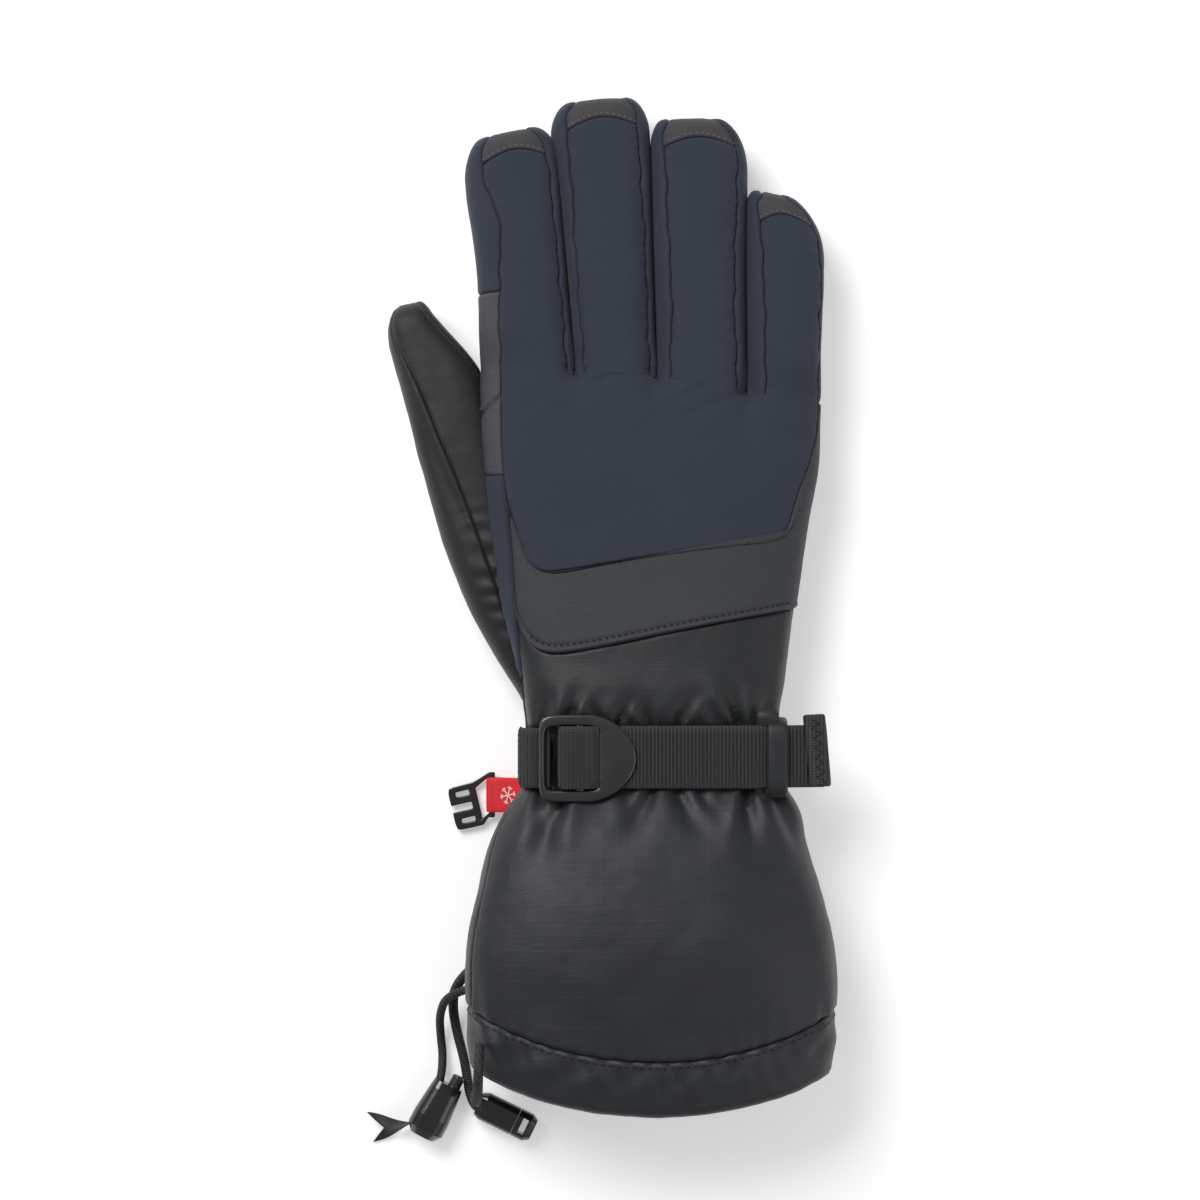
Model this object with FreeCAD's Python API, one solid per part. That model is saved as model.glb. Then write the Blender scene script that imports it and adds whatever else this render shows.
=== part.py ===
import FreeCAD, Part
import math
import os

# A padded ski glove for a right hand, lying palm down on z = 0.
# +X points to the little finger side, +Y to the fingertips, +Z out of the back of the hand.
# The origin is on the underside of the palm, below the middle of the wrist strap.
# Sizes are in millimetres, angles in degrees.

# ---- Fabric plies, from the outside in
SHELL = 0.9
MEMBRANE = 0.5
WADDING = 3.2
LINING = 0.9
PLY_GAP = 0.15

# ---- Fingers: name, width at the knuckle, width near the tip, length, lean, knuckle height
FINGERS = (
    ("index", 29.5, 28.8, 79.5, 4.2, 124.0),
    ("middle", 25.3, 28.0, 90.5, 3.6, 123.5),
    ("ring", 28.3, 28.8, 87.5, 1.3, 120.0),
    ("little", 24.2, 24.8, 67.5, 1.0, 115.0),
)
FINGER_GAP = 1.0
FINGER_TIP_ROUND = 8.0
TIP_ANGLES = (30.0, 52.0, 68.0)
KNUCKLE_ROW_SHIFT = -0.95
FINGER_FLEX = 55.0
KNUCKLE_AXIS_Z = 14.0
FINGER_LOW = 2.0
FINGER_HIGH = 32.0
FINGER_TIP_LOW = 3.0
FINGER_TIP_HIGH = 27.0
FINGER_CORNER = 9.0
CAP_SEAM = 9.5
SEAM_INSET = 4.4
WALL_FLATTEN = 0.55
CROTCH_OVERLAP = 2.5
JOINT_GAP = 0.6

# ---- Thumb
THUMB_HINGE = (-58.0, 80.0)
THUMB_LEAN = 15.0
THUMB_LENGTH = 71.0
THUMB_WIDTH = 26.0
THUMB_TIP_WIDTH = 25.0
THUMB_ROOT_WIDTH = 20.0
THUMB_ROOT_LENGTH = 62.0
THUMB_LOW = 0.0
THUMB_HIGH = 22.5
THUMB_TIP_ROUND = 15.0
THUMB_CORNER = 8.5
THUMB_AXIS_Z = 11.0
THUMB_FLEX = 40.0
THUMB_CLEARANCE = 0.8

# ---- Hand, from the wrist fold to the knuckles
WRIST_Y = 14.5
WRIST_LEFT = -42.2
WRIST_RIGHT = 41.4
WRIST_DEPTH = 36.0
WRIST_AXIS_Z = 18.0
PRESSED_FLAT = 0.1
WRIST_BEND_DOWN = 25.0
WRIST_BEND_UP = 20.0
HAND_CORNER = 14.0
SEAM_Z = 14.0
# How far the sides have swelled from the wrist to the knuckle row: height, left share, right share, depth
HAND_SWELL = (
    (30.0, 0.16, 0.16, 35.0),
    (50.0, 0.52, 0.38, 34.5),
    (75.0, 0.76, 0.68, 34.0),
    (95.0, 0.92, 0.93, 34.0),
    (128.0, 1.0, 1.0, 32.5),
)

# ---- Seam lines on the back of the hand, as (x, y, corner radius)
BACK_PANEL = [
    (-50.5, 160, 0), (-50.5, 84, 12), (-43.2, 60.0, 8), (44.5, 70.5, 9), (51.0, 96, 6), (62, 114, 0), (62, 160, 0),
]
ABOVE_LOWER_SEAM = [
    (-70, 52, 0), (-42.5, 46, 0), (-37.4, 35.5, 8), (-1.6, 37.0, 0), (43.9, 48.4, 0), (70, 57, 0), (70, 170, 0),
    (-70, 170, 0),
]
GUSSET = [(-110, 91, 0), (-50.5, 91, 0), (-46.5, 64, 0), (-40.6, 20, 0), (-40.6, 0, 0), (-110, 0, 0)]
SIDE_PATCH = [(-110, 91, 0), (-50.5, 91, 0), (-50.5, 170, 0), (-110, 170, 0)]
PATCH_TOP_Y = 151.0
PATCH_OVERLAP_Y = 100.0
THUMB_BASE = [(-110, 88, 0), (-52.5, 88, 0), (-46.5, 52, 0), (-41.5, 10, 0), (-110, 10, 0)]
THUMB_BASE_RISE = 2.0

# ---- Gauntlet: height, left, right, depth, corner radius; it swells where the strap's edge lets go
WEBBING_WIDTH = 20.0
STRAP_EDGE_Y = -WEBBING_WIDTH / 2 - 0.5
GAUNTLET = (
    (STRAP_EDGE_Y, -42.8, 42.4, WRIST_DEPTH, 14.0),
    (STRAP_EDGE_Y - 5.5, -46.5, 45.2, WRIST_DEPTH + 2.5, 15.0),
    (-26.0, -52.8, 48.4, WRIST_DEPTH + 6.5, 17.0),
    (-42.0, -57.4, 53.0, WRIST_DEPTH + 10.5, 19.0),
    (-60.0, -61.5, 57.8, WRIST_DEPTH + 14.0, 20.0),
    (-75.0, -61.5, 58.8, WRIST_DEPTH + 14.0, 20.0),
    (-95.0, -60.2, 57.4, WRIST_DEPTH + 13.0, 20.0),
    (-120.0, -58.0, 55.0, WRIST_DEPTH + 10.0, 20.0),
)
HEM_CENTRE_Y = 25.6
HEM_RADIUS = 140.0
HEM_WIDTH = 18.0
HEM_TURN_IN = 1.0

# ---- Strap hardware
WEBBING = 1.3
STRAP_TAIL_X = 54.6
STRAP_TAIL_DROP = 3.0
STRAP_SEWN_IN = 12.0
STRAP_TAIL_FLAT_IN = 6.0
BIGHT_REACH = 4.6
BIGHT_ROUND = 1.6
BIGHT_OVER = 0.6
STRAP_CLEAR = 0.25
BUCKLE_LEFT = -37.4
BUCKLE_BAR = 2.6
BUCKLE_RAIL = 3.8
BUCKLE_SIDE_CLEAR = 0.3
BUCKLE_THICK = 2.6
CENTRE_BAR_X = -24.4
TAB_START_X = -17.9
TAB_END_X = -6.4
BELT_LOOP_X = 39.0
BELT_LOOP_WIDTH = 6.0
BELT_LOOP_WALL = 1.2
BELT_LOOP_FOOT_Z = 24.0
ANCHOR_FOOT_Z = 20.0
ANCHOR_SHOULDER_Z = 27.5
SKIN_CLEAR = 0.12
STRAP_END_WIDTH = 6.6
STRAP_END_LENGTH = 23.0
STRAP_END_HALF_THICK = 1.9
STRAP_END_WALL = 0.8

# ---- Ribbon tag and hook clip
TAG_SEAM = (-44.1, -13.4, 8.0)
TAG_AXIS = (0.438, 0.899, 0.0)
TAG_SWING = (0.0, 15.0, 30.0, 45.0, 60.0)
TAG_CLEAR = 0.4
TAG_BAR = (-53.4, -13.4, 2.3)
TAG_WIDTH = 11.4
TAG_PLY = 0.6
CLIP_BAR_RADIUS = 1.0
CLIP_BAR_PLAY = 0.25
CLIP_PLATE = (10.0, 14.0, 2.2)
CLIP_CENTRE = (-61.2, -17.0)
CLIP_TURN = 13.4

# ---- Drawcord, cord lock and cord end
CORD_RADIUS = 1.6
TETHER_RADIUS = 1.4
CORD_HOLE_CLEAR = 0.12
LOCK_TOP = (-67.6, -108.4, 5.6)
LOCK_TURN = 152.2
LOCK_LENGTH = 19.0
LOCK_WIDTH = 12.4
LOCK_TOP_WIDTH = 9.8
LOCK_DEPTH = 10.2
PLUNGER_RADIUS = 2.1
PLUNGER_CLEAR = 0.15
PLUNGER_OUT = 4.0
PLUNGER_TRAVEL = 3.0
PLUNGER_LENGTH = 11.0
PLUNGER_OFFSET = -1.9
TETHER_OFFSET = 2.9
TETHER_DEPTH = 3.0
SPRING_WIRE = 0.4
SPRING_TURNS = 4
CORD_END_MOUTH = (-57.8, -114.8, 4.0)
CORD_END_TURN = -116.3
CORD_END_LENGTH = 20.0
CORD_END_WIDTH = 9.5
CORD_END_DEPTH = 7.0
CORD_END_SPLIT = 13.5
CORD_END_DEPTH_IN = 4.0
STRAND_OFFSET = 1.75
PULL_WIDTH = 10.0
PULL_THICK = 0.9

UPPER_LEG = [
    (-60.8, -70.5, 16.0),
    (-65.4, -75.2, 12.2),
    (-66.4, -83.5, 5.2),
    (-64.7, -93.0, 1.75),
    (-62.7, -100.2, 1.7),
    (-61.6, -107.0, 1.7),
    (-60.7, -112.4, 2.7),
]
LOWER_LEG = [
    (-56.4, -91.4, 41.2),
    (-56.6, -97.5, 45.4),
    (-56.9, -104.8, 43.6),
    (-57.3, -110.2, 35.0),
    (-58.2, -112.2, 24.0),
    (-58.9, -111.4, 14.2),
    (-59.2, -111.1, 8.2),
]
TETHER = [
    (-60.8, -76.0, 18.0),
    (-67.6, -78.0, 15.2),
    (-70.6, -85.0, 7.6),
    (-70.4, -92.8, 2.2),
    (-69.6, -99.6, 2.4),
]

# ---- Cutting sizes
FAR = 300.0
BELOW = -5.0
SKIN_MARGIN = 0.05
TINY_RADIUS = 0.4
V = FreeCAD.Vector
UP = V(0, 0, 1)


def ply_insets():
    """How far inside the outer surface each ply starts and ends."""
    insets = {}
    depth = 0.0
    for ply, thickness in (("shell", SHELL), ("membrane", MEMBRANE), ("insulation", WADDING), ("lining", LINING)):
        insets[ply] = (depth, depth + thickness)
        depth += thickness + PLY_GAP
    return insets


PLIES = ply_insets()


# ---- Plain solids
def box(x0, x1, y0, y1, z0, z1):
    return Part.makeBox(x1 - x0, y1 - y0, z1 - z0, V(x0, y0, z0))


def rounded_wire(y, x0, x1, z0, z1, radius):
    """A closed rounded rectangle of eight edges in the plane at y."""
    r = max(TINY_RADIUS, min(radius, (x1 - x0) / 2 - TINY_RADIUS, (z1 - z0) / 2 - TINY_RADIUS))
    c = r * (1 - math.sqrt(0.5))
    corners = (
        ((x0 + r, z0), (x1 - r, z0), (x1 - c, z0 + c), (x1, z0 + r)),
        ((x1, z0 + r), (x1, z1 - r), (x1 - c, z1 - c), (x1 - r, z1)),
        ((x1 - r, z1), (x0 + r, z1), (x0 + c, z1 - c), (x0, z1 - r)),
        ((x0, z1 - r), (x0, z0 + r), (x0 + c, z0 + c), (x0 + r, z0)),
    )
    edges = []
    for start, end, middle, last in corners:
        a, b, m, e = [V(x, y, z) for x, z in (start, end, middle, last)]
        edges.append(Part.makeLine(a, b))
        edges.append(Part.Arc(b, m, e).toShape())
    return Part.Wire(edges)


def lofted(stations, inset=0.0):
    """A closed solid through rounded sections (y, x0, x1, z0, z1, radius), each drawn in by inset."""
    wires = []
    for y, x0, x1, z0, z1, radius in stations:
        wires.append(rounded_wire(y, x0 + inset, x1 - inset, z0 + inset, z1 - inset, radius - inset))
    return Part.makeLoft(wires, True, True)


def rounded_outline(points, z):
    """A closed wire in the plane at z through (x, y, corner radius) points."""
    count = len(points)
    starts, arcs = [], []
    for i, (x, y, radius) in enumerate(points):
        here = V(x, y, z)
        back = V(points[i - 1][0], points[i - 1][1], z).sub(here).normalize()
        on = V(points[(i + 1) % count][0], points[(i + 1) % count][1], z).sub(here).normalize()
        if radius <= 0:
            starts.append((here, here))
            arcs.append(None)
            continue
        half = back.getAngle(on) / 2
        reach = radius / math.tan(half)
        first, last = here.add(back * reach), here.add(on * reach)
        centre = here.add(back.add(on).normalize() * (radius / math.sin(half)))
        middle = centre.add(here.sub(centre).normalize() * radius)
        starts.append((first, last))
        arcs.append(Part.Arc(first, middle, last).toShape())
    edges = []
    for i in range(count):
        if arcs[i]:
            edges.append(arcs[i])
        leave, arrive = starts[i][1], starts[(i + 1) % count][0]
        if leave.distanceToPoint(arrive) > 1e-6:
            edges.append(Part.makeLine(leave, arrive))
    return Part.Wire(edges)


def prism(points, z0, z1):
    """An upright prism on an outline of (x, y, corner radius) points."""
    return Part.Face(rounded_outline(points, z0)).extrude(V(0, 0, z1 - z0))


def side_prism(profile, x0, x1):
    """A prism along X on a polygon of (y, z) points."""
    points = [V(x0, y, z) for y, z in profile]
    return Part.Face(Part.makePolygon(points + points[:1])).extrude(V(x1 - x0, 0, 0))


def band(path, thickness, y0, y1):
    """A flat strap that follows (x, z) points in the XZ plane, with its ply on the left of the path."""
    outer = []
    for i, (x, z) in enumerate(path):
        before = path[max(i - 1, 0)]
        after = path[min(i + 1, len(path) - 1)]
        turns = []
        for (ax, az), (bx, bz) in ((before, (x, z)), ((x, z), after)):
            length = math.hypot(bx - ax, bz - az)
            if length:
                turns.append((-(bz - az) / length, (bx - ax) / length))
        nx, nz = [sum(t[k] for t in turns) / len(turns) for k in (0, 1)]
        scale = thickness / (nx * nx + nz * nz)
        outer.append((x + nx * scale, z + nz * scale))
    points = [V(x, y0, z) for x, z in list(path) + outer[::-1]]
    return Part.Face(Part.makePolygon(points + points[:1])).extrude(V(0, y1 - y0, 0))


def placed(shape, place, turn):
    """A copy turned about Z and moved to a place."""
    moved = shape.copy()
    moved.rotate(V(0, 0, 0), UP, turn)
    moved.translate(V(*place))
    return moved


def fused(shapes):
    whole = shapes[0]
    for shape in shapes[1:]:
        whole = whole.fuse(shape)
    return whole


# ---- Digits, each made along +Y from its own hinge and then placed
def digit_stations(spec, inset):
    """Sections of a finger or thumb drawn in by inset, with a rounded closed tip."""
    half0, half1 = spec["base"] / 2 - inset, spec["tip"] / 2 - inset
    round_y = spec["length"] - spec["round"]
    radius = spec["corner"] - inset

    def section(y, shrink):
        share = min(1.0, y / round_y)
        half = half0 + (half1 - half0) * share - shrink
        low = spec["low"] + (spec["tip_low"] - spec["low"]) * share + inset + shrink * spec["flat"]
        high = spec["high"] + (spec["tip_high"] - spec["high"]) * share - inset - shrink * spec["flat"]
        return (y, -half, half, low, high, radius)

    stations = [section(JOINT_GAP / 2, 0.0), section(round_y * 0.5, 0.0), section(round_y, 0.0)]
    reach = spec["round"] - inset
    for angle in TIP_ANGLES:
        turn = math.radians(angle)
        stations.append(section(round_y + reach * math.sin(turn), reach * (1 - math.cos(turn))))
    return stations


def digit_form(spec, inset):
    return lofted(digit_stations(spec, inset))


def digit_notch(spec):
    """The wedge cut from the underside of a digit so that it can flex by half of its range."""
    lean = math.tan(math.radians(spec["flex"] / 2))
    low = spec["low"] + BELOW
    start = JOINT_GAP / 2
    profile = [(start - 1, spec["axis_z"]), (start, spec["axis_z"]), (start + (spec["axis_z"] - low) * lean, low)]
    return side_prism(profile + [(start - 1, low)], -spec["base"], spec["base"])


def digit_plies(spec):
    notch = digit_notch(spec)
    plies = {}
    for ply, (outer, inner) in PLIES.items():
        solid = digit_form(spec, outer)
        hollow = lofted([shifted_down(digit_stations(spec, inner)[0])] + digit_stations(spec, inner))
        plies[ply] = solid.cut(hollow).cut(notch)
    return plies


def shifted_down(station):
    return (station[0] - 1.0,) + tuple(station[1:])


def finger_specs():
    """The four fingers side by side across the knuckle row."""
    row = sum(width for _, width, _, _, _, _ in FINGERS) + FINGER_GAP * (len(FINGERS) - 1)
    left = KNUCKLE_ROW_SHIFT - row / 2
    specs = []
    for name, base, tip, length, lean, knuckle_y in FINGERS:
        specs.append({
            "name": name, "base": base, "tip": tip, "length": length, "lean": lean,
            "place": (left + base / 2, knuckle_y, 0.0), "low": FINGER_LOW, "high": FINGER_HIGH,
            "tip_low": FINGER_TIP_LOW, "tip_high": FINGER_TIP_HIGH, "round": FINGER_TIP_ROUND,
            "flat": WALL_FLATTEN, "corner": FINGER_CORNER, "axis_z": KNUCKLE_AXIS_Z, "flex": FINGER_FLEX,
        })
        left += base + FINGER_GAP
    return specs


SPECS = finger_specs()
KNUCKLE_LEFT = SPECS[0]["place"][0] - SPECS[0]["base"] / 2 - FINGER_GAP / 2
KNUCKLE_RIGHT = SPECS[-1]["place"][0] + SPECS[-1]["base"] / 2 + FINGER_GAP / 2
THUMB = {
    "name": "thumb", "base": THUMB_WIDTH, "tip": THUMB_TIP_WIDTH, "length": THUMB_LENGTH,
    "lean": THUMB_LEAN, "place": (THUMB_HINGE[0], THUMB_HINGE[1], 0.0), "low": THUMB_LOW + 0.5,
    "high": THUMB_HIGH, "tip_low": THUMB_LOW + 1.5, "tip_high": THUMB_HIGH - 2.0,
    "round": THUMB_TIP_ROUND, "flat": 0.5, "corner": THUMB_CORNER, "axis_z": THUMB_AXIS_Z,
    "flex": THUMB_FLEX,
}


def in_place(spec, shape):
    return placed(shape, spec["place"], spec["lean"])


def finger_panels(spec, shell):
    """The dorsal strip, the two side walls, and the palm strip that wraps over the fingertip."""
    half = min(spec["base"], spec["tip"]) / 2 - SEAM_INSET
    cap_y = spec["length"] - CAP_SEAM
    strip = box(-half, half, BELOW, cap_y, SEAM_Z, FAR)
    walls = [box(-FAR, -half, BELOW, FAR, SEAM_Z, FAR), box(half, FAR, BELOW, FAR, SEAM_Z, FAR)]
    back = shell.common(strip)
    fourchettes = Part.makeCompound([shell.common(wall) for wall in walls])
    palm = shell.cut(strip).cut(walls[0]).cut(walls[1])
    return back, fourchettes, palm


# ---- Hand
def hand_stations():
    stations = [(WRIST_Y + JOINT_GAP / 2, WRIST_LEFT, WRIST_RIGHT, 0.0, WRIST_DEPTH, HAND_CORNER)]
    for y, left, right, depth in HAND_SWELL:
        x0 = WRIST_LEFT + (KNUCKLE_LEFT - WRIST_LEFT) * left
        x1 = WRIST_RIGHT + (KNUCKLE_RIGHT - WRIST_RIGHT) * right
        stations.append((y, x0, x1, 0.0, depth, HAND_CORNER))
    return stations


def thumb_root(inset, run_out=0.0):
    """The tube that joins the thumb to the side of the hand, run out past its end where it is a hollow."""
    half = THUMB_WIDTH / 2
    low, high = THUMB["low"], THUMB_HIGH
    stations = [
        (-THUMB_ROOT_LENGTH, half - THUMB_ROOT_WIDTH, half + 4.0, low, high, THUMB_CORNER),
        (-THUMB_ROOT_LENGTH * 0.5, -half + 1.5, half + 4.0, low, high, THUMB_CORNER),
        (-JOINT_GAP / 2, -half, half, low, high, THUMB_CORNER),
    ]
    first = stations[0]
    stations[0] = (first[0] + inset,) + first[1:]
    if run_out:
        stations.append((run_out,) + stations[-1][1:])
    return in_place(THUMB, lofted(stations, inset))


def thumb_space(inset):
    """The room that the thumb lies in, with its clearance, from the hinge to past the tip."""
    grow = THUMB_CLEARANCE + inset
    half = THUMB_WIDTH / 2
    end = THUMB_LENGTH + 10.0
    station = (-half, half, THUMB_LOW - 8.0, THUMB_HIGH, THUMB_CORNER)
    return in_place(THUMB, lofted([(-JOINT_GAP / 2,) + station, (end,) + station], -grow))


def hand_form(inset):
    blank = lofted(hand_stations(), inset)
    return blank.cut(thumb_space(inset)).fuse(thumb_root(inset))


def knuckle_cut(spec):
    """What the hand loses ahead of one knuckle, and under it for half of the flex."""
    side = spec["base"] / 2 + CROTCH_OVERLAP
    lean = math.tan(math.radians(spec["flex"] / 2))
    start = -JOINT_GAP / 2
    low = BELOW
    profile = [(start, FAR / 3), (start, spec["axis_z"]), (start - (spec["axis_z"] - low) * lean, low), (40.0, low),
               (40.0, FAR / 3)]
    return in_place(spec, side_prism(profile, -side, side))


def wrist_notch():
    """The wedges above and below the wrist axis that let the hand bend on the gauntlet."""
    start = WRIST_Y + JOINT_GAP / 2
    up = math.tan(math.radians(WRIST_BEND_UP))
    down = math.tan(math.radians(WRIST_BEND_DOWN))
    reach = 40.0
    top = [(start - 2, WRIST_AXIS_Z), (start, WRIST_AXIS_Z), (start + reach * up, WRIST_AXIS_Z + reach)]
    bottom = [(start - 2, WRIST_AXIS_Z), (start, WRIST_AXIS_Z), (start + reach * down, WRIST_AXIS_Z - reach)]
    upper = side_prism(top + [(start - 2, WRIST_AXIS_Z + reach)], -FAR, FAR)
    lower = side_prism(bottom + [(start - 2, WRIST_AXIS_Z - reach)], -FAR, FAR)
    return upper, lower


def thumb_root_notch():
    """Half of the thumb's flex, cut from the underside of its root."""
    lean = math.tan(math.radians(THUMB_FLEX / 2))
    start = -JOINT_GAP / 2
    low = BELOW
    profile = [(start + 1, THUMB_AXIS_Z), (start, THUMB_AXIS_Z), (start - (THUMB_AXIS_Z - low) * lean, low)]
    side = THUMB_WIDTH / 2 + 6.0
    return in_place(THUMB, side_prism(profile + [(start + 1, low)], -side, THUMB_WIDTH / 2 + 1.0))


def hand_plies():
    cutters = [knuckle_cut(spec) for spec in SPECS] + list(wrist_notch()) + [thumb_root_notch()]
    plies = {}
    for ply, (outer, inner) in PLIES.items():
        solid = hand_form(outer).cut(open_ended_hand(inner))
        for cutter in cutters:
            solid = solid.cut(cutter)
        plies[ply] = solid
    return plies


def open_ended_hand(inset):
    """The hollow inside a ply of the hand, run out past the wrist and the thumb's hinge."""
    stations = hand_stations()
    run_out = (stations[0][0] - 2.0,) + stations[0][1:]
    far_end = (stations[-1][0] + 2.0,) + stations[-1][1:]
    blank = lofted([run_out] + stations + [far_end], inset).cut(thumb_space(inset))
    return blank.fuse(thumb_root(inset, run_out=1.0))


def hand_panels(shell):
    """The hand's shell cut along its seams."""
    palm_side = box(-FAR, FAR, -FAR, FAR, BELOW, SEAM_Z).fuse(thumb_space(SHELL + SKIN_MARGIN))
    upper = shell.cut(palm_side)
    lower = shell.common(palm_side)
    root_side = prism(THUMB_BASE, BELOW, THUMB_HIGH + THUMB_BASE_RISE)
    thumb_base = upper.common(root_side)
    upper = upper.cut(root_side)
    gusset = upper.common(prism(GUSSET, 0, FAR))
    patch = upper.common(prism(SIDE_PATCH, 0, FAR))
    rest = upper.cut(prism(GUSSET, 0, FAR)).cut(prism(SIDE_PATCH, 0, FAR))
    back = rest.common(prism(BACK_PANEL, 0, FAR))
    rest = rest.cut(prism(BACK_PANEL, 0, FAR))
    trim = rest.common(prism(ABOVE_LOWER_SEAM, 0, FAR))
    wrist = rest.cut(prism(ABOVE_LOWER_SEAM, 0, FAR))
    return {
        "palm_panel": lower, "thumb_base_panel": thumb_base, "side_gusset": gusset,
        "hand_side_patch": patch, "back_panel": back, "trim_band": trim, "wrist_panel": wrist,
    }


# ---- Gauntlet
def gauntlet_form(inset, reach=0.0):
    """The gauntlet's outer form drawn in by inset, its underside a little below the table."""
    low = -PRESSED_FLAT
    stations = [(WRIST_Y - JOINT_GAP / 2 + reach, WRIST_LEFT, WRIST_RIGHT, low, WRIST_DEPTH, HAND_CORNER)]
    stations += [(y, x0, x1, low, depth, radius) for y, x0, x1, depth, radius in GAUNTLET]
    last = stations[-1]
    stations[-1] = (last[0] - reach,) + last[1:]
    return lofted(stations[::-1], inset)


def cuff_disc(radius):
    """Everything inside the round line of the hem, as seen from above."""
    return Part.makeCylinder(radius, 4 * FAR, V(0, HEM_CENTRE_Y, -2 * FAR), UP)


def gauntlet_ply(ply):
    outer, inner = PLIES[ply]
    edge = HEM_RADIUS if ply == "shell" else HEM_RADIUS - HEM_TURN_IN
    return gauntlet_form(outer).cut(gauntlet_form(inner, 2.0)).common(cuff_disc(edge))


def gauntlet_parts():
    """The gauntlet's plies, with the shell cut along its seams and pressed flat where it rests."""
    table = box(-FAR, FAR, -FAR, FAR, BELOW, 0)
    shell = gauntlet_ply("shell").cut(table)
    seam = HEM_RADIUS - HEM_WIDTH
    hem = shell.cut(cuff_disc(seam))
    sleeve = shell.common(cuff_disc(seam))
    below = box(-FAR, FAR, -FAR, FAR, BELOW, SEAM_Z)
    return {
        "hem_band": hem,
        "gauntlet_back": sleeve.cut(below),
        "gauntlet_palm": sleeve.common(below),
        "gauntlet_insulation": gauntlet_ply("insulation"),
        "gauntlet_lining": gauntlet_ply("lining"),
    }


# ---- Strap, buckle and belt loop
STRAP_Z = WRIST_DEPTH + STRAP_CLEAR


def strap_webbing():
    """One webbing: sewn at the right, under the buckle, over its centre bar and back out as the tail."""
    t = WEBBING
    low = STRAP_Z
    over = low + t + STRAP_CLEAR
    bar_top = over + BUCKLE_THICK + STRAP_CLEAR
    bar_left, bar_right = CENTRE_BAR_X - BUCKLE_BAR / 2, CENTRE_BAR_X + BUCKLE_BAR / 2
    path = [
        (WRIST_RIGHT - STRAP_SEWN_IN, low),
        (bar_left - BIGHT_REACH, low),
        (bar_left - BIGHT_REACH, bar_top - BIGHT_OVER + t),
        (bar_left - BIGHT_REACH + BIGHT_ROUND, bar_top + t),
        (bar_right + BIGHT_OVER, bar_top + t),
        (TAB_START_X - BIGHT_OVER, over + t),
        (WRIST_RIGHT - STRAP_TAIL_FLAT_IN, over + t),
        (STRAP_TAIL_X, over + t - STRAP_TAIL_DROP),
    ]
    return band(path, -t, -WEBBING_WIDTH / 2, WEBBING_WIDTH / 2)


def buckle():
    """A ladder frame with a centre bar and a broad thumb tab, raised so that the tail passes under the tab."""
    half = WEBBING_WIDTH / 2 + BUCKLE_SIDE_CLEAR
    full = half + BUCKLE_RAIL
    z0 = STRAP_Z + WEBBING + STRAP_CLEAR
    z1 = z0 + BUCKLE_THICK
    raised = z0 + WEBBING + 2 * STRAP_CLEAR
    middle = 0.5 * (TAB_START_X + TAB_END_X)
    outline = [
        (BUCKLE_LEFT, -full, 2.2), (TAB_START_X, -full, 8.0), (TAB_END_X, -full * 0.42, 4.0),
        (TAB_END_X, full * 0.42, 4.0), (TAB_START_X, full, 8.0), (BUCKLE_LEFT, full, 2.2),
    ]
    frame = prism(outline, z0, raised + BUCKLE_THICK)
    bar_low, bar_high = CENTRE_BAR_X - BUCKLE_BAR / 2, CENTRE_BAR_X + BUCKLE_BAR / 2
    for x0, x1 in ((BUCKLE_LEFT + BUCKLE_BAR, bar_low), (bar_high, TAB_START_X)):
        frame = frame.cut(prism([(x0, -half, 1), (x1, -half, 1), (x1, half, 1), (x0, half, 1)], z0 - 1, FAR))
    frame = frame.cut(box(bar_low - 1, TAB_START_X + 1, -half, half, z1, FAR))
    frame = frame.cut(box(BUCKLE_LEFT - 1, bar_low, -full - 1, full + 1, z1, FAR))
    hinge_z = z0 + BUCKLE_THICK / 2
    for side in (-1, 1):
        corner = [(BUCKLE_LEFT - 1, hinge_z + side * 0.3), (BUCKLE_LEFT - 1, hinge_z + side * 9),
                  (BUCKLE_LEFT + 0.9, hinge_z + side * 9), (BUCKLE_LEFT + 0.9, hinge_z + side * 1.3),
                  (BUCKLE_LEFT, hinge_z + side * 0.5)]
        points = [V(x, -full - 1, z) for x, z in corner]
        frame = frame.cut(Part.Face(Part.makePolygon(points + points[:1])).extrude(V(0, 2 * full + 2, 0)))
    under_tab = box(bar_high, TAB_END_X + 1, -half, half, z0 - 1, raised)
    below_tab = box(middle, TAB_END_X + 1, -full - 1, full + 1, z0 - 1, raised)
    return softened(frame.cut(under_tab).cut(below_tab), 0.5)


def softened(shape, radius):
    """The shape with its upright outer edges left and its long top edges rounded where the kernel can."""
    edges = [e for e in shape.Edges if e.Length > 6.0 and abs(e.tangentAt(e.FirstParameter).z) < 0.1]
    top = shape.BoundBox.ZMax
    edges = [e for e in edges if e.BoundBox.ZMin > top - 0.01]
    if not edges:
        return shape
    return shape.makeFillet(radius, edges)


def anchor_loop():
    """A flat strip up the side of the wrist and in under the buckle's left bar."""
    t = WEBBING
    x = WRIST_LEFT
    low = STRAP_Z
    path = [
        (x - BUCKLE_SIDE_CLEAR - t, ANCHOR_FOOT_Z),
        (x - BUCKLE_SIDE_CLEAR - t, ANCHOR_SHOULDER_Z),
        (BUCKLE_LEFT - 0.2, low + t),
        (BUCKLE_LEFT + BUCKLE_BAR, low + t),
    ]
    strip = band(path, -t, -WEBBING_WIDTH / 2 + 0.4, WEBBING_WIDTH / 2 - 0.4)
    return strip.cut(gauntlet_form(-SKIN_CLEAR))


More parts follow.
